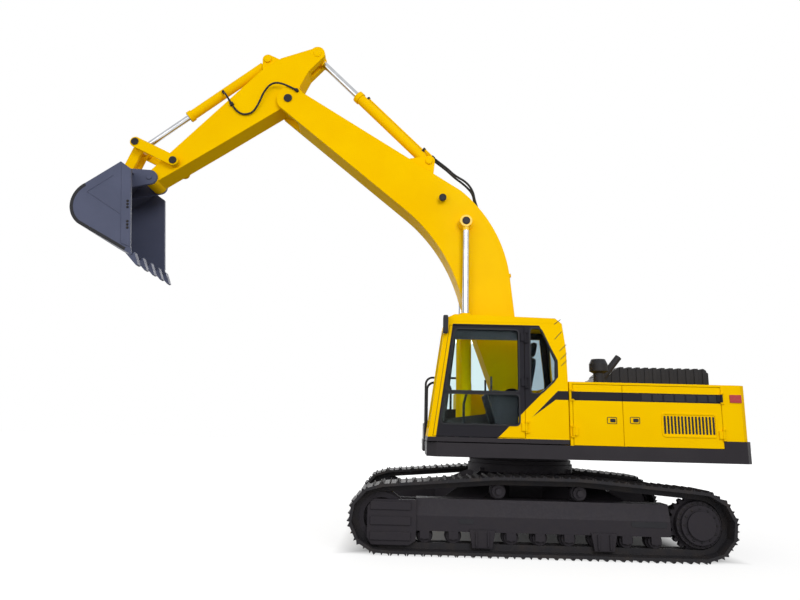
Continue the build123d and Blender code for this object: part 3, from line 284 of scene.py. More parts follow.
@dataclass(frozen=True)
class WornSteel(Coating):
    """Dark steel with brown stain in patches and bright rubbed places."""

    colour: Colour = (0.022, 0.021, 0.024)
    stain: Colour = (0.046, 0.036, 0.03)
    bright: Colour = (0.12, 0.116, 0.115)
    staining: float = 0.5
    edge: float = 0.004
    rubbing: float = 0.6
    gloss: Flat = (0.42, 0.7)

    def dress(self, shader: Shader) -> None:
        """Set the stained and rubbed colour and the grain."""
        grain = shader.noise(70.0, 4.0)
        patches = shader.span(shader.noise(6.0, 7.0), 0.42, 0.75, 0.0, self.staining)
        stained = shader.mix(patches, self.colour, self.stain)
        shader.set(
            Base_Color=shader.mix(shader.span(grain, 0.62, 0.8, 0.0, self.rubbing), stained, self.bright),
            Roughness=shader.span(grain, 0.3, 0.7, *self.gloss),
            Metallic=0.15,
            Specular_IOR_Level=0.14,
        )
        shader.bump(grain, 0.25, 0.002, self.edge)


@dataclass(frozen=True)
class PlatedRod(Coating):
    """A ground and plated rod, painted on its eye: where a row (a, b, c) of the side view is above 0."""

    row: Row = (0.0, 0.0, -1.0)
    plate: Colour = (0.56, 0.57, 0.59)
    film: Colour = (0.42, 0.43, 0.45)
    gloss: Flat = (0.12, 0.3)
    eye_gloss: float = 0.34

    def dress(self, shader: Shader) -> None:
        """Set the plating, the painted eye and the fine turning marks."""
        film = shader.noise(5.0, 5.0)
        eye = shader.inside((self.row,))
        plate = shader.mix(shader.span(film, 0.4, 0.8), self.plate, self.film)
        gloss = shader.span(film, 0.3, 0.8, *self.gloss)
        shader.set(
            Base_Color=shader.mix(eye, plate, YELLOW),
            Metallic=shader.math("SUBTRACT", 1.0, eye),
            Roughness=shader.math("MAXIMUM", gloss, shader.math("MULTIPLY", eye, self.eye_gloss)),
        )
        shader.bump(shader.noise(60.0, 1.0), 0.02, 0.0003, 0.003)


@dataclass(frozen=True)
class Moulded(Coating):
    """Moulded plastic or rubber with a fine grain."""

    colour: Colour
    sheen: Colour
    gloss: Flat = (0.45, 0.65)
    grain: float = 260.0
    edge: float = 0.005

    def dress(self, shader: Shader) -> None:
        """Set the cloudy colour and the grain."""
        clouds = shader.noise(4.0, 5.0)
        shader.set(
            Base_Color=shader.mix(shader.span(clouds, 0.35, 0.75), self.colour, self.sheen),
            Roughness=shader.span(clouds, 0.3, 0.75, *self.gloss),
            Specular_IOR_Level=0.2,
        )
        shader.bump(shader.noise(self.grain, 3.0), 0.2, 0.0008, self.edge)


@dataclass(frozen=True)
class Glass(Coating):
    """Tinted safety glass, a little dusty, and darkened by painted shade in the pane behind the door.

    Attributes:
        tint: What one face of a pane lets through.
        dust: The same where it is dusty.
        smoke: What the pane behind the door lets through, darkened as painted shade.
        smoke_from: How far to the left the pane with painted shade starts.
    """

    tint: Colour = (0.82, 0.93, 0.94)
    dust: Colour = (0.9, 0.92, 0.9)
    smoke: Colour = (0.38, 0.45, 0.5)
    smoke_from: float = 9.0

    def dress(self, shader: Shader) -> None:
        """Set the tint, the streaks of dust and the painted shade in the pane behind the door."""
        streaks = shader.noise(3.0, 6.0, shader.stretched((1.0, 1.0, 0.3)))
        dusty = shader.span(streaks, 0.4, 0.8, 0.0, 0.25)
        # Beyond the limit the glass is darkened with painted shade.
        in_painted_shade = shader.math("GREATER_THAN", shader.axis("Y"), self.smoke_from)
        shader.set(
            Base_Color=shader.mix(in_painted_shade, shader.mix(dusty, self.tint, self.dust), self.smoke),
            Transmission_Weight=1.0,
            Roughness=shader.span(streaks, 0.4, 0.8, 0.0, 0.04),
            IOR=1.05,
        )


@dataclass(frozen=True)
class Lens(Coating):
    """A red lamp lens with moulded prisms."""

    colour: Colour = (0.5, 0.008, 0.012)
    deep: Colour = (0.3, 0.0, 0.004)

    def dress(self, shader: Shader) -> None:
        """Set the colour and the prisms, which are bands one above the other."""
        wave = shader.node("TexWave", Vector=shader.place, Scale=18.0)
        wave.bands_direction = "Z"
        prisms = wave.outputs["Fac"]
        shader.set(
            Base_Color=shader.mix(prisms, self.colour, self.deep),
            Roughness=shader.span(prisms, 0.0, 1.0, 0.1, 0.25),
            Coat_Weight=0.5,
        )
        shader.bump(prisms, 0.4, 0.003, 0.003)


@dataclass(frozen=True)
class Cloth(Coating):
    """Seat cloth with a pebbled weave a few millimetres across, paler where it is worn."""

    colour: Colour = (0.035, 0.036, 0.042)
    worn: Colour = (0.06, 0.06, 0.066)
    raised: Colour = (0.02, 0.02, 0.024)

    def dress(self, shader: Shader) -> None:
        """Set the worn colour and the weave."""
        threads = shader.node("TexVoronoi", Vector=shader.place, Scale=260.0).outputs["Distance"]
        wear = shader.noise(7.0, 4.0)
        worn = shader.mix(shader.span(wear, 0.4, 0.75), self.colour, self.worn)
        shader.set(
            Base_Color=shader.mix(shader.span(threads, 0.0, 0.7), worn, self.raised),
            Roughness=shader.span(wear, 0.3, 0.8, 0.75, 0.95),
            Sheen_Weight=0.3,
        )
        shader.bump(threads, 0.5, 0.002, 0.02)


class Finish(Enum):
    """The finish of each material slot of the record, and the hoses' rubber."""

    YELLOW_PAINT = Paint("yellow_enamel", YELLOW, YELLOW_SHADE)
    DARK_PAINT = Paint("charcoal_enamel", CHARCOAL, CHARCOAL_SHADE, dustiness=0.1, gloss=(0.36, 0.5),
                       shine=0.1)
    BUCKET_PAINT = Paint("bucket_enamel", (0.09, 0.1, 0.158), (0.076, 0.086, 0.136), dustiness=0.15,
                         gloss=(0.35, 0.5), shine=0.08)
    TRACK_STEEL = WornSteel("track_steel")
    DARK_STEEL = WornSteel("frame_steel", (0.026, 0.023, 0.028), (0.034, 0.029, 0.03), (0.046, 0.043, 0.048),
                           staining=0.35, edge=0.006)
    ENGINE_IRON = WornSteel("engine_iron", (0.12, 0.12, 0.12), (0.1, 0.08, 0.06))
    CHROME_ROD = PlatedRod("rod_chrome")
    BLACK_PLASTIC = Moulded("black_plastic", (0.014, 0.014, 0.017), (0.024, 0.024, 0.028))
    BLACK_TUBE = BLACK_PLASTIC
    HOSE_RUBBER = Moulded("hose_rubber", (0.01, 0.01, 0.011), (0.018, 0.018, 0.018), (0.4, 0.55), 500.0, 0.0)
    CAB_GLASS = Glass("cab_glass_tint")
    LAMP_RED = Lens("lamp_lens")
    SEAT_CLOTH = Cloth("seat_cloth")

    @staticmethod
    def of_slot(slot: str) -> Finish:
        """The finish of a material slot."""
        return Finish[slot.upper()]


@dataclass
class Studio:
    """The white room: floor, lamps, sky and the camera at the photograph's place.

    Attributes:
        fade: From where to where the shadow on the floor fades.
        shaded: Half the area under the machine where the floor hardly glows, along and across; the low glow
            there is painted shade.
        shade_edge: Shares of that area between which the glow sets in.
        glow: The floor's glow near the machine, and the low glow under it that paints shade there.
        lamps: Each lamp's name, place, width and power.
    """

    camera_place: Point = (1.7224, 9.7592, 1.5484)
    yaw: float = 0.0145
    tilt: float = 0.2024
    roll: float = 0.0248
    lens: float = 28.08
    sensor: float = 36.0
    far: float = 300.0
    floor_half: float = 60.0
    floor_grey: float = 0.3
    fade: Flat = (4.5, 9.0)
    shaded: Flat = (2.5, 1.45)
    shade_edge: Flat = (0.8, 1.05)
    glow: Flat = (0.76, 0.03)
    sky: float = 0.62
    lamps: tuple[tuple[str, Point, float, float], ...] = (
        ("key", (-3.0, 15.0, 9.5), 7.0, 1200.0),
        ("fill", (9.0, 12.0, 5.0), 8.0, 420.0),
        ("back", (2.0, -16.0, 9.0), 8.0, 600.0),
    )
    aim: Point = (1.5, 0.0, 3.0)

    def build(self) -> None:
        """Make everything."""
        self.make_camera()
        self.make_world()
        self.make_floor()
        self.make_lamps()
        bpy.context.scene.view_settings.view_transform = "Standard"

    def make_camera(self) -> None:
        """Set the camera by its yaw, its tilt up and its roll about the line of sight."""
        ahead = Vector((sin(self.yaw) * cos(self.tilt), -cos(self.yaw) * cos(self.tilt), sin(self.tilt)))
        level = Vector((-cos(self.yaw), -sin(self.yaw), 0.0))
        upright = level.cross(ahead)
        aside = level * cos(self.roll) + upright * sin(self.roll)
        up = upright * cos(self.roll) - level * sin(self.roll)
        data = bpy.data.cameras.new("camera")
        data.sensor_width = self.sensor
        data.lens = self.lens
        data.clip_end = self.far
        camera = bpy.data.objects.new("camera", data)
        turn = Matrix((aside, up, -ahead)).transposed().to_4x4()
        camera.matrix_world = Matrix.Translation(Vector(self.camera_place)) @ turn
        bpy.context.scene.collection.objects.link(camera)
        bpy.context.scene.camera = camera

    @staticmethod
    def seen(tree: bpy.types.NodeTree) -> Socket:
        """1 for rays that show the background: from the camera, off a glossy face or through glass."""
        path = tree.nodes.new("ShaderNodeLightPath")
        total = path.outputs["Is Camera Ray"]
        for name in ("Is Glossy Ray", "Is Transmission Ray"):
            add = tree.nodes.new("ShaderNodeMath")
            add.operation = "MAXIMUM"
            tree.links.new(total, add.inputs[0])
            tree.links.new(path.outputs[name], add.inputs[1])
            total = add.outputs[0]
        return total

    def make_world(self) -> None:
        """White where it is seen, a plain grey sky as light."""
        world = bpy.data.worlds.new("sky")
        bpy.context.scene.world = world
        world.use_nodes = True
        tree = world.node_tree
        back = tree.nodes["Background"]
        back.inputs["Color"].default_value = (1.0, 1.0, 1.0, 1.0)
        strength = tree.nodes.new("ShaderNodeMapRange")
        strength.inputs["To Min"].default_value = self.sky
        tree.links.new(self.seen(tree), strength.inputs["Value"])
        tree.links.new(strength.outputs[0], back.inputs["Strength"])

    def make_floor(self) -> None:
        """A floor that looks white, keeps a soft shadow near the machine and a painted shade under it, and
        gives little light back.
        """
        mesh = bpy.data.meshes.new("floor")
        corners = np.insert(rectangle(2 * self.floor_half, 2 * self.floor_half), 2, 0.0, axis=1)
        mesh.from_pydata(corners.tolist(), [], [(0, 1, 2, 3)])
        floor = bpy.data.objects.new("floor", mesh)
        bpy.context.scene.collection.objects.link(floor)
        shader = Shader("floor_white")
        away = shader.node("VectorMath", Vector=shader.place)
        away.operation = "LENGTH"
        near, under = self.glow
        rise = shader.span(away.outputs["Value"], *self.fade, near, 1.0)
        # Under the machine the glow drops almost to nothing: painted shade on the floor there.
        shares = [
            shader.math("DIVIDE", shader.math("ABSOLUTE", shader.axis(name)), half)
            for name, half in zip("XY", self.shaded)
        ]
        beyond = shader.span(shader.math("MAXIMUM", *shares), *self.shade_edge, under, 1.0)
        glow = shader.math("MULTIPLY", shader.math("MULTIPLY", rise, beyond), self.seen(shader.tree))
        shader.set(
            Base_Color=(self.floor_grey, self.floor_grey, self.floor_grey, 1.0),
            Roughness=1.0,
            Specular_IOR_Level=0.0,
            Emission_Color=(1.0, 1.0, 1.0, 1.0),
            Emission_Strength=glow,
        )
        mesh.materials.append(shader.material)

    def make_lamps(self) -> None:
        """Square soft lamps that face the machine's middle."""
        for name, place, size, power in self.lamps:
            data = bpy.data.lights.new(name, "AREA")
            data.size = size
            data.energy = power
            lamp = bpy.data.objects.new(name, data)
            lamp.location = place
            lamp.rotation_euler = (Vector(self.aim) - Vector(place)).to_track_quat("-Z", "Y").to_euler()
            bpy.context.scene.collection.objects.link(lamp)


@dataclass(frozen=True)
class Place:
    """A flat drawing set in space: its origin and its two directions."""

    origin: Point
    along: Point = (1.0, 0.0, 0.0)
    up: Point = (0.0, 0.0, 1.0)

    def lift(self, flat: np.ndarray, height: np.ndarray | float = 0.0) -> np.ndarray:
        """Carry a drawing into space: origin + a along + b up + height out.

        Args:
            flat: Points (a, b), in an array whose last axis is 2.
            height: How far out of the drawing each point lies.

        Returns:
            Points in an array whose last axis is 3.
        """
        out = np.cross(self.up, self.along)
        level = flat[..., :1] * np.asarray(self.along) + flat[..., 1:] * np.asarray(self.up)
        return np.asarray(self.origin) + level + np.asarray(height)[..., None] * out

    def moved(self, spot: Flat, out: float) -> Place:
        """The same drawing with its origin at one of its spots, some way out."""
        return Place(tuple(self.lift(np.array(spot), out)), self.along, self.up)


def left(y: float, x: float = 0.0, z: float = 0.0) -> Place:
    """A drawing on the machine's left, seen from outside, at a distance from its middle."""
    return Place((x, y, z))


def right(y: float, x: float = 0.0, z: float = 0.0) -> Place:
    """A drawing on the machine's right, seen from outside; its a runs to the machine's rear."""
    return Place((x, -y, z), along=(-1.0, 0.0, 0.0))


def unit(vectors: np.ndarray) -> np.ndarray:
    """Vectors scaled to a length of 1."""
    return vectors / np.linalg.norm(vectors, axis=-1, keepdims=True)


def leaning(origin: Flat, ahead: Flat) -> Place:
    """A drawing in the machine's middle plane: from a pin, along a direction of the side view."""
    a, b = unit(np.asarray(ahead)).tolist()
    return Place((origin[0], 0.0, origin[1]), (a, 0.0, b), (-b, 0.0, a))


def line(start: Flat, end: Flat) -> Row:
    """A line's row (a, b, c), above 0 on the left of the way from start to end, with x to the right."""
    ahead, up = unit(np.subtract(end, start)).tolist()
    return (-up, ahead, up * start[0] - ahead * start[1])


def circle(count: int, shift: float = 0.0) -> np.ndarray:
    """Points evenly round a circle of radius 1, all turned by a share of their spacing."""
    turn = 2 * np.pi * (np.arange(count) + shift) / count
    return np.stack((np.cos(turn), np.sin(turn)), axis=1)


def rectangle(width: float, height: float, turn: float = 0.0) -> np.ndarray:
    """A rectangle's four corners about its middle, turned anticlockwise by an angle in radians."""
    corners = np.array(((-1, -1), (1, -1), (1, 1), (-1, 1))) * (width / 2, height / 2)
    return corners @ np.array(((cos(turn), sin(turn)), (-sin(turn), cos(turn))))


def grown(outline: np.ndarray, amount: float) -> np.ndarray:
    """An outline with every side moved outwards: each corner goes along the sum of its sides' normals."""
    ahead = unit(np.roll(outline, -1, axis=0) - outline)
    area = np.sum(outline[:, 0] * np.roll(outline[:, 1], -1) - np.roll(outline[:, 0], -1) * outline[:, 1])
    normal = np.stack((ahead[:, 1], -ahead[:, 0]), axis=1) * np.sign(area)
    before = np.roll(normal, 1, axis=0)
    return outline + amount * (normal + before) / (1 + np.sum(normal * before, axis=1, keepdims=True))


def softened(outline: np.ndarray, corner: float, steps: int = 6) -> np.ndarray:
    """An outline with each corner rounded by a quadratic curve that starts and ends a length from it."""
    start = outline + corner * unit(np.roll(outline, 1, axis=0) - outline)
    end = outline + corner * unit(np.roll(outline, -1, axis=0) - outline)
    t = np.linspace(0.0, 1.0, steps)[None, :, None]
    curve = (1 - t) ** 2 * start[:, None] + 2 * t * (1 - t) * outline[:, None] + t ** 2 * end[:, None]
    return curve.reshape(-1, 2)


def arc(start: Flat, through: Flat, end: Flat, steps: int = 24) -> np.ndarray:
    """Points on the circle through three places, from the first round to the last."""
    a, b, c = (np.asarray(place) for place in (start, through, end))
    middle = np.linalg.solve(2 * np.stack((b - a, c - a)), (b @ b - a @ a, c @ c - a @ a))
    angle = np.unwrap([np.arctan2(*(place - middle)[::-1]) for place in (a, b, c)])
    turn = np.linspace(angle[0], angle[2], steps)
    return middle + np.linalg.norm(a - middle) * np.stack((np.cos(turn), np.sin(turn)), axis=1)


class Surface:
    """A piece's points and faces, gathered from whole grids before they become one mesh."""

    SHARP_ANGLE = 0.6
    POLE = 0.49 * np.pi

    def __init__(self) -> None:
        """Start with nothing."""
        self.points: list[np.ndarray] = []
        self.faces: list[list[int]] = []
        self.count = 0

    def grid(self, points: np.ndarray, ends: bool = True, closed: bool = True) -> Surface:
        """Add grids of points with a face between each four neighbours.

        Args:
            points: Array of any number of grids, then rows, columns and 3.
            ends: Whether each last and first row gets a flat face.
            closed: Whether each row runs round to its start.

        Returns:
            This surface.
        """
        index = np.arange(points.size // 3).reshape(points.shape[:-1]) + self.count
        rows = np.concatenate((index, index[..., :1]), axis=-1) if closed else index
        corners = (rows[..., :-1, :-1], rows[..., :-1, 1:], rows[..., 1:, 1:], rows[..., 1:, :-1])
        self.faces += np.stack(corners, axis=-1).reshape(-1, 4).tolist()
        for row in (-1, 0) if ends else ():
            self.faces += index[..., row, :].reshape(-1, points.shape[-2]).tolist()
        self.points.append(points.reshape(-1, 3))
        self.count += points.size // 3
        return self

    def plate(self, place: Place, outline: np.ndarray, thick: float, chamfer: float = 0.0) -> Surface:
        """Add plates: an outline carried out of the drawing, drawn in along the top edge by the chamfer."""
        middle = outline.mean(axis=-2, keepdims=True)
        size = np.linalg.norm(outline - middle, axis=-1).mean()
        inner = middle + (outline - middle) * (1 - chamfer / size)
        heights = np.array((0.0, thick - chamfer, thick))[:, None]
        return self.grid(place.lift(np.stack((outline, outline, inner), axis=-3), heights))

    def lathe(self, place: Place, profile: Sequence[Flat], sides: int = 24,
              centres: Sequence[Flat] | np.ndarray = ((0.0, 0.0),)) -> Surface:
        """Add turned forms: a profile of radius and height carried round each centre."""
        radius, height = np.asarray(profile).T
        flat = np.asarray(centres)[:, None, None, :] + radius[None, :, None, None] * circle(sides)
        return self.grid(place.lift(flat, height[:, None]))

    def bolts(self, place: Place, centres: np.ndarray, radius: float) -> Surface:
        """Add six-sided bolt heads on round washers."""
        self.lathe(place, ((1.5 * radius, 0.0), (1.5 * radius, 0.25 * radius)), 12, centres)
        return self.lathe(place, ((radius, 0.0), (radius, 0.8 * radius), (0.8 * radius, radius)), 6, centres)

    def tube(self, path: np.ndarray, radius: float, sides: int = 16) -> Surface:
        """Add a round tube: a circle square to the path at each of its points."""
        ahead = unit(np.gradient(path, axis=0))
        across = unit(np.cross(ahead, (0.0, 1.0, 0.0)))
        turn = circle(sides)[None]
        spokes = turn[..., :1] * across[:, None] + turn[..., 1:] * np.cross(ahead, across)[:, None]
        return self.grid(path[:, None] + radius * spokes)

    def rod(self, start: np.ndarray, ahead: np.ndarray, length: float, radius: float) -> Surface:
        """Add a straight tube from a start along a direction."""
        return self.tube(np.asarray(start) + np.array((0.0, length))[:, None] * np.asarray(ahead), radius)

    def ring(self, place: Place, outline: np.ndarray, width: float, thick: float, corner: float) -> Surface:
        """Add a flat frame round an outline, with rounded corners inside and out."""
        inner, outer = softened(outline, corner), softened(grown(outline, width), corner + width)
        heights = np.array((0.0, thick, thick, 0.0))[:, None]
        return self.grid(place.lift(np.stack((inner, inner, outer, outer)), heights), ends=False)

    def pillow(self, place: Place, half: Point, power: float, rows: int = 20, sides: int = 40) -> Surface:
        """Add a stuffed form: an ellipsoid whose sines and cosines are raised to a power, which squares it.

        Args:
            place: Its middle and directions.
            half: Half its length along, up and out.
            power: 1 for an ellipsoid, towards 0 for a box.
            rows: Points from one side to the other.
            sides: Points round it.

        Returns:
            This surface.
        """
        rise = np.linspace(-self.POLE, self.POLE, rows)[:, None]
        turn = circle(sides)
        round_it = np.sign(turn) * np.abs(turn) ** power * half[:2]
        out = half[2] * np.sign(np.sin(rise)) * np.abs(np.sin(rise)) ** power * np.ones((1, sides))
        return self.grid(place.lift(np.abs(np.cos(rise))[..., None] ** power * round_it, out))

    def make(self, name: str) -> bpy.types.Object:
        """Turn what was gathered into an object, with faces turned outwards and smooth but for hard edges."""
        mesh = bpy.data.meshes.new(name)
        mesh.from_pydata(np.concatenate(self.points).tolist(), [], self.faces)
        form = bmesh.new()
        form.from_mesh(mesh)
        bmesh.ops.recalc_face_normals(form, faces=form.faces)
        form.to_mesh(mesh)
        form.free()
        mesh.shade_smooth()
        mesh.set_sharp_from_angle(angle=self.SHARP_ANGLE)
        piece = bpy.data.objects.new(name, mesh)
        bpy.context.scene.collection.objects.link(piece)
        return piece


@dataclass
class Workshop:
    """What each sub-assembly needs to add its pieces: the frame, and the materials made so far by name."""

    frame: dict
    made: dict[str, bpy.types.Material] = field(default_factory=dict)

    def pin(self, joint: str) -> Flat:
        """A joint's place at rest in the side view."""
        joints = self.frame["record"]["behaviour"]["joints"]
        x, _, z = next(entry["pos_m"] for entry in joints if entry["name"] == joint)
        return (x, z)

    def put(self, piece: bpy.types.Object, finish: Coating) -> None:
        """Give a piece one finish all over, which is made into a material at its first use."""
        if finish.name not in self.made:
            self.made[finish.name] = finish.material()
        piece.data.materials.clear()
        piece.data.materials.append(self.made[finish.name])

    def cover(self, node: str, finish: Coating) -> None:
        """Give one of the solids a finish."""
        self.put(self.frame["nodes"][node], finish)

    def add(self, name: str, surface: Surface, body: str, slot: str,
            finish: Finish | None = None) -> bpy.types.Object:
        """Add one piece.

        Args:
            name: The piece's name.
            surface: Its form.
            body: The body that it rides on.
            slot: The record's material slot.
            finish: What covers it, if not the slot's own finish.

        Returns:
            The new object.
        """
        piece = surface.make(name)
        self.put(piece, (finish or Finish.of_slot(slot)).value)
        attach(piece, body)
        LOG.info("%s: %d faces on %s", name, len(surface.faces), body)
        return piece


@dataclass
class Undercarriage:
    """Tracks, side frames and drives: the drive covers' bolts, roller guards and the left frame's slots."""

    drive: Flat = (-2.0075, 0.44)
    bolt_rings: tuple[tuple[float, float, int], ...] = ((1.425, 0.263, 24), (1.475, 0.205, 12))
    bolt: float = 0.011
    frame_out: float = 1.45
    slots: tuple[Box, ...] = ((-1.37, 0.428, 0.45, 0.07), (0.935, 0.41, 0.19, 0.06))
    slot_rounding: float = 1 / 2.1
    slot_thick: float = 0.004
    guard_x: tuple[float, ...] = (-0.795, 0.735)
    guard_z: Flat = (0.095, 0.315)
    guard_half: Flat = (0.125, 0.165)
    guard_thick: float = 0.02
    rib_x: float = 0.075
    rib_width: float = 0.022
    rib_share: float = 0.8
    chamfer: float = 0.004

    def dress(self, shop: Workshop) -> None:
        """Add the pieces."""
        bolts = Surface()
        for place_of in (left, right):
            for out, radius, count in self.bolt_rings:
                bolts.bolts(place_of(out, *self.drive), radius * circle(count), self.bolt)
        shop.add("drive_bolts", bolts, "undercarriage", "track_steel")
        openings = Surface()
        for x, z, width, height in self.slots:
            outline = softened(rectangle(width, height), height * self.slot_rounding)
            openings.plate(left(self.frame_out, x, z), outline, self.slot_thick)
        shop.add("frame_pocket", openings, "undercarriage", "dark_steel", Finish.BLACK_PLASTIC)
        self.add_guards(shop)

    def add_guards(self, shop: Workshop) -> None:
        """The roller guards on both frames: plates that narrow downwards, each with two ribs."""
        (low, high), (foot, head) = self.guard_z, self.guard_half
        plate = np.array(((-foot, low), (foot, low), (head, high), (-head, high)))
        rib = rectangle(self.rib_width, self.rib_share * (high - low)) + (0.0, (low + high) / 2)
        ways = np.array((-self.rib_x, self.rib_x))[:, None, None] * (1.0, 0.0)
        layers = ((self.frame_out, plate), (self.frame_out + self.guard_thick, rib + ways))
        guards = Surface()
        for x in self.guard_x:
            for place_of in (left, right):
                for out, outline in layers:
                    guards.plate(place_of(out, x), outline, self.guard_thick, self.chamfer)
        shop.add("roller_guards", guards, "undercarriage", "dark_steel")


@dataclass
class House:
    """The upper structure's left side: stripe, louvres, latches and the grille with its frame."""

    doors: tuple[str, str] = ("side_door_left_front", "side_door_left_rear")
    side: float = 1.44
    stripe_z: Flat = (1.962, 2.078)
    stripe_tip: Flat = (0.08, 1.727)
    stripe_bend: Flat = (-0.265, 2.078)
    stripe_heel: Flat = (-0.235, 1.962)
    louvre_x: Flat = (-1.35, -2.37)
    louvres: int = 7
    louvre_share: float = 0.86
    louvre_height: float = 0.092
    louvre_corner: float = 0.012
    louvre_relief: Flat = (0.007, 0.004)
    grille: Box = (-1.9625, 1.674, 0.675, 0.268)
    grille_rim: Point = (0.022, 0.009, 0.03)
    grille_slots: int = 15
    grille_slot: float = 0.026
    grille_share: float = 0.86
    grille_rounding: float = 0.45
    grille_relief: Flat = (0.003, 0.001)
    latches: tuple[tuple[str, str, Flat], ...] = (
        ("latch_front", "side_door_left_front", (-0.962, 1.713)),
        ("latch_rear", "side_door_left_rear", (-1.261, 1.72)),
    )
    latch_size: Flat = (0.115, 0.075)
    latch_rim: Point = (0.007, 0.005, 0.012)
    paddle_share: Flat = (0.6, 0.62)
    paddle_shift: float = 0.1
    paddle_corner: float = 0.01
    paddle_relief: Flat = (0.007, 0.003)

    def stripe(self) -> tuple[Lines, Lines]:
        """The stripe's two areas: the level band, and the pointed end in front of it."""
        low, high = self.stripe_z
        front = line(self.stripe_tip, self.stripe_bend)
        band = ((0.0, -1.0, high), (0.0, 1.0, -low), front)
        point = ((0.0, -1.0, low), front, line(self.stripe_heel, self.stripe_tip))
        return band, point

    def dress(self, shop: Workshop) -> None:
        """Paint the doors with the stripe and add the pieces on them."""
        for node in self.doors:
            shop.cover(node, SidePaint("side_enamel", YELLOW, YELLOW_SHADE, fields=self.stripe()))
        self.add_louvres(shop)
        self.add_grille(shop)
        width, height = self.latch_size
        paddle = rectangle(*np.multiply(self.paddle_share, self.latch_size))
        for name, body, (x, z) in self.latches:
            latch = Surface().ring(left(self.side, x, z), rectangle(width, height), *self.latch_rim)
            pad = left(self.side, x - self.paddle_shift * width, z)
            latch.plate(pad, softened(paddle, self.paddle_corner, 3), *self.paddle_relief)
            shop.add(name, latch, body, "black_plastic")

    def add_louvres(self, shop: Workshop) -> None:
        """The raised panels in the stripe's band."""
        start, end = self.louvre_x
        pitch = (start - end) / self.louvres
        panel = softened(rectangle(self.louvre_share * pitch, self.louvre_height), self.louvre_corner, 3)
        along = start - (np.arange(self.louvres) + 0.5) * pitch
        spots = np.stack((along, np.full(self.louvres, np.mean(self.stripe_z))), axis=1)
        louvres = Surface().plate(left(self.side), spots[:, None] + panel, *self.louvre_relief)
        shop.add("stripe_louvres", louvres, self.doors[1], "black_plastic")

    def add_grille(self, shop: Workshop) -> None:
        """The grille's rim and its upright slots."""
        x, z, width, height = self.grille
        place = left(self.side, x, z)
        rim = Surface().ring(place, rectangle(width, height), *self.grille_rim)
        shop.add("grille_frame", rim, self.doors[1], "yellow_paint")
        across = (np.arange(self.grille_slots) + 0.5) / self.grille_slots - 0.5
        slot = rectangle(self.grille_slot, self.grille_share * height)
        bars = softened(slot, self.grille_rounding * self.grille_slot, 4)
        ways = (width * across)[:, None, None] * (1.0, 0.0)
        slots = Surface().plate(place, bars + ways, *self.grille_relief)
        shop.add("grille_slots", slots, self.doors[1], "black_plastic")


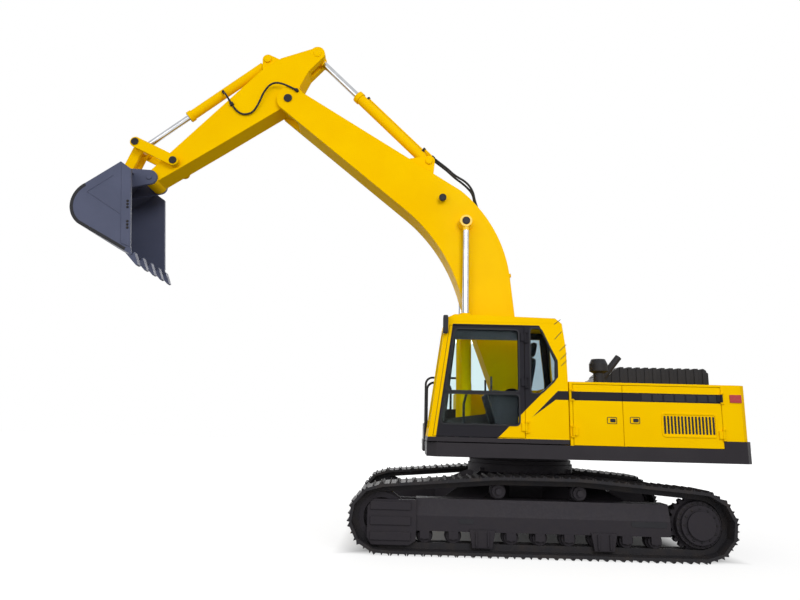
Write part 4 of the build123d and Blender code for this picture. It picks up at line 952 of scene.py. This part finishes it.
@dataclass
class Cab:
    """The operator's cab: its two-tone side, window seals, vents, handle, mirror and seat."""

    paint_line: tuple[Flat, Flat] = ((0.565, 1.414), (-0.238, 2.221))
    front_line: tuple[Flat, Flat] = ((1.335, 1.45), (1.118, 2.975))
    head: float = 2.945
    rear_line: tuple[Flat, Flat] = ((-0.03, 2.96), (-0.275, 2.476))
    rear: float = -0.275
    side: float = 1.45
    front: Flat = (1.447, 1.393)
    lean: float = 0.142
    pane_rear: float = 0.25
    pane_inset: float = 0.15
    panes: tuple[Flat, Flat] = ((1.63, 2.01), (2.06, 2.87))
    door_seal: Point = (0.022, 0.006, 0.05)
    quarter: tuple[Flat, ...] = (
        (0.081, 2.9), (-0.048, 2.9), (-0.242, 2.476), (-0.236, 2.234), (-0.043, 2.046), (0.081, 2.043))
    quarter_seal: Point = (0.02, 0.006, 0.04)
    shade_height: float = 0.13
    shade_inset: float = 0.045
    shade_thick: float = 0.004
    vents: tuple[tuple[Flat, Flat], ...] = (
        ((-0.237, 2.964), (-0.326, 3.032)),
        ((-0.24, 2.763), (-0.335, 2.868)),
        ((-0.302, 2.607), (-0.39, 2.695)),
        ((-0.311, 2.495), (-0.394, 2.578)),
        ((-0.32, 2.41), (-0.395, 2.485)),
    )
    vent_half: float = 0.004
    vent_thick: float = 0.002
    handle: Box = (0.35, 2.034, 0.12, 0.026)
    handle_rim: Point = (0.006, 0.01, 0.01)
    linings: tuple[tuple[str, str, float], ...] = (
        ("cab_right_wall", "Y", 0.535), ("cab_rear_wall", "X", -0.366))
    # Where the painted shade on the glass starts, to the left.
    smoke_from: float = 1.4
    mirror: Point = (1.223, 1.506, 2.925)
    mirror_half: Point = (0.035, 0.125, 0.031)
    mirror_power: float = 0.3
    stay: Box = (-0.018, -0.015, 0.03, 0.09)
    stay_sink: float = 0.002
    seat_y: float = 0.975
    seat_lean: float = 0.2
    seat_fill: float = 0.8
    pads: tuple[tuple[Flat, Point, float, bool], ...] = (
        ((0.26, 1.867), (0.26, 0.063, 0.25), 0.4, False),
        ((0.05, 2.245), (0.055, 0.31, 0.24), 0.4, True),
        ((-0.037, 2.672), (0.04, 0.1, 0.13), 0.5, True),
    )
    base: tuple[Flat, Point, float] = ((0.23, 1.63), (0.19, 0.178, 0.16), 0.2)
    stem: tuple[Flat, ...] = ((-0.005, 2.5), (-0.012, 2.55), (-0.02, 2.62))
    stem_radius: float = 0.012

    def paint(self, stripe: tuple[Lines, ...]) -> SidePaint:
        """The left side's paint: dark inside the lines round the door and quarter window, and the stripe."""
        door = (
            line(*reversed(self.paint_line)),
            line(*self.front_line),
            (0.0, -1.0, self.head),
            line(*self.rear_line),
            (1.0, 0.0, -self.rear),
        )
        return SidePaint("cab_side_enamel", YELLOW, YELLOW_SHADE, fields=(door, *stripe))

    def pane(self, low: float, high: float) -> np.ndarray:
        """A door window's outline, slanted along its front."""
        front = [self.front[0] - self.lean * (z - self.front[1]) - self.pane_inset for z in (low, high)]
        return np.array(((self.pane_rear, low), (front[0], low), (front[1], high), (self.pane_rear, high)))

    def dress(self, shop: Workshop, stripe: tuple[Lines, ...]) -> None:
        """Paint the cab and add the pieces.

        Args:
            shop: What pieces are added with.
            stripe: The areas of the house's stripe, which starts on the cab.
        """
        for node in ("cab_left_frame", "cab_door"):
            shop.cover(node, self.paint(stripe))
        # The pane behind the door gets painted shade.
        shop.cover("cab_glass", Glass("cab_glass_painted_shade", smoke_from=self.smoke_from))
        for node, axis, limit in self.linings:
            shop.cover(node, LinedPaint(f"{node}_enamel", YELLOW, YELLOW_SHADE, axis=axis, limit=limit))
        self.add_windows(shop)
        self.add_fittings(shop)
        self.add_seat(shop)

    def add_windows(self, shop: Workshop) -> None:
        """The windows' seals and the shade at the top of the door's upper one."""
        face = left(self.side)
        seals = Surface()
        for low, high in self.panes:
            seals.ring(face, self.pane(low, high), *self.door_seal)
        shop.add("door_seals", seals, "cab_door", "black_plastic")
        quarter = Surface().ring(face, np.array(self.quarter), *self.quarter_seal)
        shop.add("quarter_seal", quarter, "house", "black_plastic")
        high = self.panes[1][1]
        outline = self.pane(high - self.shade_height, high)
        shade = Surface().plate(left(self.side - self.shade_inset), outline, self.shade_thick)
        shop.add("door_shade", shade, "cab_door", "black_plastic")

    def add_fittings(self, shop: Workshop) -> None:
        """The rear pillar's vents, the door's handle and the mirror on its stay."""
        starts, ends = np.array(self.vents).transpose(1, 0, 2)
        aside = self.vent_half * unit(ends - starts)[:, ::-1] * (-1.0, 1.0)
        outlines = np.stack((starts - aside, ends - aside, ends + aside, starts + aside), axis=1)
        vents = Surface().plate(left(self.side), outlines, self.vent_thick)
        shop.add("pillar_vents", vents, "house", "black_plastic")
        x, z, width, height = self.handle
        handle = Surface().ring(left(self.side, x, z), rectangle(width, height), *self.handle_rim)
        shop.add("door_handle", handle, "cab_door", "black_plastic")
        x, z, width, height = self.stay
        stay = left(self.side - self.stay_sink, self.mirror[0] + x, self.mirror[2] + z)
        mirror = Surface().pillow(Place(self.mirror), self.mirror_half, self.mirror_power)
        mirror.plate(stay, rectangle(width, height), self.mirror[1] - self.side, self.stay_sink)
        shop.add("cab_mirror", mirror, "house", "black_plastic")

    def add_seat(self, shop: Workshop) -> None:
        """The seat's stuffed cushion, back and head rest, on a moulded base."""
        y = self.seat_y
        ahead, rise = cos(self.seat_lean), sin(self.seat_lean)
        leant = ((ahead, 0.0, rise), (-rise, 0.0, ahead))
        soft = Surface()
        for (x, z), half, power, leans in self.pads:
            soft.pillow(Place((x, y, z), *leant) if leans else Place((x, y, z)), half, power)
        cushion = shop.add("seat_cushion", soft, "house", "seat_cloth")
        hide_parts("seat")
        (x, z), half, power = self.base
        base = Surface().pillow(Place((x, y, z)), half, power)
        base.tube(np.insert(np.array(self.stem), 1, y, axis=1), self.stem_radius)
        shop.add("seat_base", base, "house", "black_plastic")


@dataclass(frozen=True)
class Caps:
    """Round caps on both ends of one body's pins.

    Attributes:
        name: The piece's name.
        body: The body that holds the pins.
        slot: The record's material slot.
        pins: The joint at each pin, or its place in the side view, and how far from the middle its ends are.
        radius: The caps' radius.
        thick: Their thickness.
    """

    name: str
    body: str
    slot: str
    pins: tuple[tuple[str | Flat, float], ...]
    radius: float = 0.062
    thick: float = 0.01

    def dress(self, shop: Workshop) -> None:
        """Add the caps, with bevelled rims."""
        radius, thick = self.radius, self.thick
        profile = ((radius, 0.0), (radius, 0.6 * thick), (0.85 * radius, thick), (0.5 * radius, thick))
        caps = Surface()
        for pin, end in self.pins:
            spot = shop.pin(pin) if isinstance(pin, str) else pin
            for place_of in (left, right):
                caps.lathe(place_of(end, *spot), profile, 32)
        shop.add(self.name, caps, self.body, self.slot)


@dataclass
class Equipment:
    """Boom, arm, linkage and bucket: the caps on their pins."""

    caps: tuple[Caps, ...] = (
        Caps("nose_caps", "boom", "dark_paint", (("arm", 0.275),), 0.07, 0.012),
        Caps("foot_caps", "house", "dark_paint", (("boom", 0.365),), 0.085, 0.014),
        Caps("arm_base_caps", "boom", "yellow_paint", (("arm_cylinder_tilt", 0.146),), 0.06),
        Caps("arm_caps", "arm", "yellow_paint", (("bucket_cylinder_tilt", 0.139), ((3.374, 7.7832), 0.18)),
             0.065, 0.012),
        Caps("rocker_caps", "arm", "dark_paint", (("rockers", 0.308),)),
        Caps("knee_caps", "rockers", "dark_paint", (("bucket_link", 0.308),)),
        Caps("link_caps", "bucket", "dark_paint", (((6.4718, 5.5002), 0.245),)),
        Caps("rod_caps", "boom_cylinder_rods", "dark_paint", (((0.8503, 4.7601), 0.423),), thick=0.012),
    )

    def dress(self, shop: Workshop) -> None:
        """Add the caps, each on the body that holds its pin."""
        for caps in self.caps:
            caps.dress(shop)


@dataclass
class Bucket:
    """The bucket's cheeks: bolt groups, pressed lines, the mouth's strip and border, and a black strip along
    the rear edge that is painted shadow.
    """

    cheek: float = 0.7
    strip: float = 0.714
    strip_chamfer: float = 0.003
    mouth_top: Flat = (0.091, -0.063)
    mouth_low: Flat = (-0.034, -1.322)
    band: Flat = (0.15, 0.06)
    bolt: float = 0.014
    bolt_inset: float = 0.045
    bolt_shares: tuple[float, ...] = (0.42, 0.46, 0.5, 0.68, 0.72, 0.76)
    apex: Flat = (0.738, -0.448)
    apex_top: Flat = (0.36, -0.17)
    apex_low: Flat = (0.19, -0.79)
    pressed: Flat = (0.006, 0.001)
    border: Flat = (0.008, 0.006)
    shoulder: Flat = (0.789, -0.309)
    back: Flat = (0.979, -0.669)
    heel: Flat = (0.825, -0.959)
    edge_middle: Flat = (0.6, -0.65)
    edge_radius: float = 0.38
    lip: Flat = (-0.06, -1.44)
    lip_back: Flat = (0.12, 0.065)
    lip_inward: Flat = (-0.5, 0.86)
    # Width of the black strip along the rear edge, which is painted shadow of the shell's edge.
    wear: float = 0.05
    wear_thick: float = 0.004

    def rear_edge(self, inset: float) -> np.ndarray:
        """The cheek's rear edge from the shoulder round the back to near the lip, drawn in by an inset."""
        middle = np.array(self.edge_middle)
        places = np.array((self.shoulder, self.back, self.heel))
        curve = arc(*(middle + (1 - inset / self.edge_radius) * (places - middle)))
        tip = np.add(self.lip, self.lip_back) + inset * np.array(self.lip_inward)
        return np.concatenate((curve, tip[None]))

    def dress(self, shop: Workshop) -> None:
        """Add the pieces on both cheeks."""
        spot = shop.pin("bucket")
        top, low = np.asarray(self.mouth_top), np.asarray(self.mouth_low)
        spots = top + np.array(self.bolt_shares)[:, None] * (low - top) + (self.bolt_inset, 0.0)
        mouth = np.stack((top, top + self.band, low + self.band, low))
        ridges = (
            (self.apex_top, self.apex, *self.pressed),
            (self.apex, self.apex_low, *self.pressed),
            (mouth[1], mouth[2], *self.border),
        )
        # Heights of the strip of painted shadow along each cheek's rear edge.
        wear = np.array((0.0, self.wear_thick, self.wear_thick, 0.0))[:, None]
        bolts, lines, edges, strips = Surface(), Surface(), Surface(), Surface()
        for place_of, sign in ((left, (1.0, 1.0)), (right, (-1.0, 1.0))):
            face = place_of(self.cheek, *spot)
            bolts.bolts(place_of(self.strip, *spot), spots * sign, self.bolt)
            strips.plate(face, mouth * sign, self.strip - self.cheek, self.strip_chamfer)
            for start, end, radius, out in ridges:
                lines.tube(face.lift(np.linspace(start, end, 3) * sign, np.full(3, out)), radius, 10)
            outer, inner = (self.rear_edge(inset) * sign for inset in (0.0, self.wear))
            edges.grid(face.lift(np.stack((outer, outer, inner, inner)), wear), ends=False, closed=False)
        shop.add("mouth_strips", strips, "bucket", "bucket_paint")
        shop.add("cutter_bolts", bolts, "bucket", "dark_steel", Finish.TRACK_STEEL)
        shop.add("cheek_lines", lines, "bucket", "bucket_paint")
        # The black strips along the rear edges are painted shadow of the shell's edge.
        shop.add("cheek_painted_shadows", edges, "bucket", "dark_steel", Finish.BLACK_PLASTIC)


@dataclass(frozen=True)
class Ram:
    """One hydraulic cylinder's dressing: the rod's plated length and the gland's bolts.

    Attributes:
        rod: The rod's node.
        barrel: The barrel's body.
        base: The base pin's place in the side view.
        eye: The rod pin's place in the side view.
        length: The barrel's length from its base pin.
        bolt_circle: The radius of the gland's ring of bolts.
        ways: Each cylinder's distance from the machine's middle.
        eye_length: The painted eye's length from its pin.
        bolts: How many bolts the gland has.
        bolt: Their radius.
    """

    rod: str
    barrel: str
    base: Flat
    eye: Flat
    length: float
    bolt_circle: float
    ways: tuple[float, ...] = (0.0,)
    eye_length: float = 0.15
    bolts: int = 8
    bolt: float = 0.008

    def dress(self, shop: Workshop) -> None:
        """Plate the rod up to its painted eye and add the gland's bolts."""
        base, eye = np.asarray(self.base), np.asarray(self.eye)
        ahead = unit(eye - base)
        a, b = ahead.tolist()
        shop.cover(self.rod, PlatedRod(f"{self.rod}_plated", (a, b, float(self.eye_length - ahead @ eye))))
        x, z = base + self.length * ahead
        ring = self.bolt_circle * circle(self.bolts, 0.5)
        bolts = Surface()
        for y in self.ways:
            bolts.bolts(Place((x, y, z), (0.0, 1.0, 0.0), (b, 0.0, -a)), ring, self.bolt)
        shop.add(f"{self.rod}_gland_bolts", bolts, self.barrel, "dark_paint")


@dataclass
class Piping:
    """The fixed steel pipes and fittings that the free hoses join, and the boom's working lamp."""

    boom: Place = leaning((0.15, 2.0), (0.59943, 0.80043))
    arm: Place = leaning((3.8108, 6.8882), (0.83628, -0.54829))
    arm_ram: Place = leaning((1.4379, 5.8767), (0.7125, 0.7017))
    bucket_ram: Place = leaning((4.2326, 7.6938), (0.7778, -0.6286))
    pipe: float = 0.016
    collar: float = 0.026
    collar_length: float = 0.05
    ways: tuple[float, float] = (0.045, -0.045)
    boom_run: tuple[Flat, ...] = ((2.7, 1.4486), (2.4, 1.451), (1.988, 1.372), (1.579, 1.2), (0.48, 0.55))
    boom_clamps: tuple[tuple[float, float, float], ...] = (
        (2.4, 1.43, 0.12), (1.579, 1.188, 0.535), (0.6, 0.602, 0.535))
    clamp_size: Flat = (0.05, 0.085)
    clamp_chamfer: float = 0.003
    ram_height: float = 0.118
    ram_start: float = 0.0
    ram_ports: tuple[float, float] = (0.23, 1.594)
    post_foot: float = 0.077
    post_head: float = 0.022
    nose: Point = (3.6988, 0.28, 7.0422)
    nose_way: Point = (-0.882, 0.0, -0.471)
    nose_boss: float = 0.04
    nose_out: float = 0.255
    nose_tip: Flat = (0.02, 0.056)
    bracket: Box = (0.845, 0.45, 0.064, 0.05)
    bracket_out: Flat = (0.175, 0.226)
    bracket_corner: float = 0.008
    bracket_chamfer: float = 0.004
    port: Flat = (0.95, -0.026)
    port_out: float = 0.062
    port_profile: tuple[Flat, ...] = ((0.024, 0.0), (0.024, 0.058), (0.018, 0.064))
    lamp: Flat = (3.1726, 1.042)
    lamp_out: float = 0.258
    lamp_profile: tuple[Flat, ...] = (
        (0.022, 0.0), (0.022, 0.034), (0.045, 0.044), (0.058, 0.07), (0.058, 0.104), (0.05, 0.107),
        (0.046, 0.1))

    def dress(self, shop: Workshop) -> None:
        """Add the pieces, each on the body that carries it."""
        self.add_boom_pipes(shop)
        self.add_ram_pipes(shop)
        self.add_arm_fittings(shop)
        place = self.boom.moved(self.lamp, self.lamp_out)
        shop.add("boom_lamp", Surface().lathe(place, self.lamp_profile, 40), "boom", "black_plastic")

    def add_boom_pipes(self, shop: Workshop) -> None:
        """The boom's two pipes with their clamps, the collars on their ends, and the fitting at the nose."""
        pipes, fittings, clamps = Surface(), Surface(), Surface()
        run = np.array(self.boom_run)
        for y in self.ways:
            path = self.boom.lift(run, np.full(len(run), y))
            pipes.tube(path, self.pipe)
            for end, inner in ((0, 1), (-1, -2)):
                fittings.rod(path[end], unit(path[inner] - path[end]), self.collar_length, self.collar)
        half = self.ways[0] + 2 * self.pipe
        for x, z, turn in self.boom_clamps:
            block = rectangle(*self.clamp_size, turn) + (x, z)
            clamps.plate(self.boom.moved((0.0, 0.0), -half), block, 2 * half, self.clamp_chamfer)
        shop.add("boom_pipes", pipes, "boom", "yellow_paint")
        shop.add("boom_pipe_clamps", clamps, "boom", "yellow_paint")
        fittings.rod(self.nose, self.nose_way, self.collar_length, self.collar)
        x, _, z = np.asarray(self.nose) + self.nose_boss * np.asarray(self.nose_way)
        boss = ((self.collar, 0.0), (self.collar, self.collar_length), self.nose_tip)
        fittings.lathe(left(self.nose_out, x, z), boss)
        shop.add("boom_fittings", fittings, "boom", "dark_steel")

    def add_ram_pipes(self, shop: Workshop) -> None:
        """The arm cylinder's two pipes, from a post at each port back to the base, where the hoses start."""
        pipes, fittings = Surface(), Surface()
        for y, port in zip(self.ways, self.ram_ports):
            run = np.array([(along, self.ram_height) for along in (self.ram_start, port / 2, port)])
            path = self.arm_ram.lift(run, np.full(3, y))
            pipes.tube(path, self.pipe)
            fittings.rod(path[0], self.arm_ram.along, self.collar_length, self.collar)
            axis = self.arm_ram.lift(np.array((port, 0.0)))
            spoke = unit(path[-1] - axis)
            length = np.linalg.norm(path[-1] - axis) + self.post_head - self.post_foot
            fittings.rod(axis + self.post_foot * spoke, spoke, length, self.collar)
        shop.add("arm_ram_pipes", pipes, "arm_cylinder_barrel", "yellow_paint")
        shop.add("arm_ram_fittings", fittings, "arm_cylinder_barrel", "dark_steel")

    def add_arm_fittings(self, shop: Workshop) -> None:
        """The bracket on the arm's side where two hoses meet, and the bucket cylinder's port."""
        x, z, width, height = self.bracket
        low, high = self.bracket_out
        outline = softened(rectangle(width, height), self.bracket_corner, 3)
        block = Surface().plate(self.arm.moved((x, z), low), outline, high - low, self.bracket_chamfer)
        shop.add("arm_hose_bracket", block, "arm", "dark_steel")
        port = Surface().lathe(self.bucket_ram.moved(self.port, self.port_out), self.port_profile)
        shop.add("bucket_ram_port", port, "bucket_cylinder_barrel", "dark_steel")


@dataclass(frozen=True)
class Hose:
    """One free hose across a joint, from a fitting on one body to a fitting on the next.

    Attributes:
        node: Its name.
        first: The body that its start is fixed to; not used.
        last: The body that its end is fixed to; not used.
        radius: Its radius.
        length: Its length along the route; not used.
        route: The route's points.
        steps: Points of the smooth route for each point of the route.
        sides: Points round it.
    """

    node: str
    first: str
    last: str
    radius: float
    length: float
    route: tuple[Point, ...]
    steps: int = 16
    sides: int = 20

    def centreline(self) -> np.ndarray:
        """Points read from a smooth spline with the route's points as its control points."""
        curve = bpy.data.curves.new(f"{self.node}_route", "CURVE")
        curve.dimensions = "3D"
        curve.resolution_u = self.steps
        spline = curve.splines.new("NURBS")
        spline.points.add(len(self.route) - 1)
        spline.points.foreach_set("co", np.insert(np.array(self.route), 3, 1.0, axis=1).ravel())
        spline.order_u = 3
        spline.use_endpoint_u = True
        guide = bpy.data.objects.new(f"{self.node}_guide", curve)
        mesh = bpy.data.meshes.new_from_object(guide)
        path = np.empty(3 * len(mesh.vertices))
        mesh.vertices.foreach_get("co", path)
        bpy.data.objects.remove(guide)
        bpy.data.curves.remove(curve)
        bpy.data.meshes.remove(mesh)
        return path.reshape(-1, 3)

    def build(self, shop: Workshop) -> None:
        """Make the hose, give it the rubber finish and log its length."""
        path = self.centreline()
        piece = Surface().tube(path, self.radius, self.sides).make(f"{self.node}_rubber")
        shop.put(piece, Finish.HOSE_RUBBER.value)
        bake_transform(piece)
        LOG.info("%s: %.3f m", self.node, np.linalg.norm(np.diff(path, axis=0), axis=1).sum())


def cylinder_hose(node: str, y: float, bend: Flat) -> Hose:
    """One of the arm cylinder's two hoses, which differ in their side and in one bend."""
    route = ((1.3551, 5.9608), (1.2292, 5.8606), (1.1189, 5.7731), (1.007, 5.6629), bend,
             (0.7023, 5.3904), (0.6753, 5.217), (0.609, 5.0295))
    return Hose(node, "arm_cylinder_barrel", "boom", 0.018, 1.24, tuple((x, y, z) for x, z in route))


HOSES: tuple[Hose, ...] = (
    cylinder_hose("cylinder_hose_left", 0.045, (0.8111, 5.5524)),
    cylinder_hose("cylinder_hose_right", -0.045, (0.8387, 5.5388)),
    Hose("nose_hose", "boom", "arm", 0.016, 1.43, (
        (3.6988, 0.28, 7.0422), (3.8598, 0.29, 7.1282), (4.0698, 0.295, 7.1652), (4.2148, 0.27, 7.0202),
        (4.2998, 0.24, 6.7902), (4.4108, 0.22, 6.6132), (4.6408, 0.206, 6.6132), (4.7505, 0.202, 6.7804))),
    Hose("bucket_hose", "arm", "bucket_cylinder_barrel", 0.016, 0.34, (
        (4.7779, 0.202, 6.8222), (4.8327, 0.206, 6.9059), (4.8922, 0.185, 6.9986), (4.929, 0.128, 7.042),
        (4.9551, 0.1, 7.0764))),
)

RAMS: tuple[Ram, ...] = (
    Ram("boom_cylinder_rod", "boom_cylinder_barrels", (0.85, 1.42), (0.8503, 4.7601), 1.86, 0.078,
        (0.365, -0.365)),
    Ram("arm_cylinder_rod", "arm_cylinder_barrel", (1.4379, 5.8767), (3.374, 7.7832), 1.734, 0.08),
    Ram("bucket_cylinder_rod", "bucket_cylinder_barrel", (4.2326, 7.6938), (6.2702, 6.047), 1.668, 0.073),
)


def main() -> None:
    """Load the frame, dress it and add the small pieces."""
    logging.basicConfig(level=logging.INFO, format="%(message)s")
    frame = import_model()
    shop = Workshop(frame)
    Studio().build()
    for hose in HOSES:
        hose.build(shop)
    for part in frame["record"]["subparts"]:
        shop.cover(part["node"], Finish.of_slot(part["material_slot"]).value)
    house = House()
    Undercarriage().dress(shop)
    house.dress(shop)
    Cab().dress(shop, house.stripe())
    Equipment().dress(shop)
    Bucket().dress(shop)
    Piping().dress(shop)
    for ram in RAMS:
        ram.dress(shop)


if __name__ == "__main__":
    main()
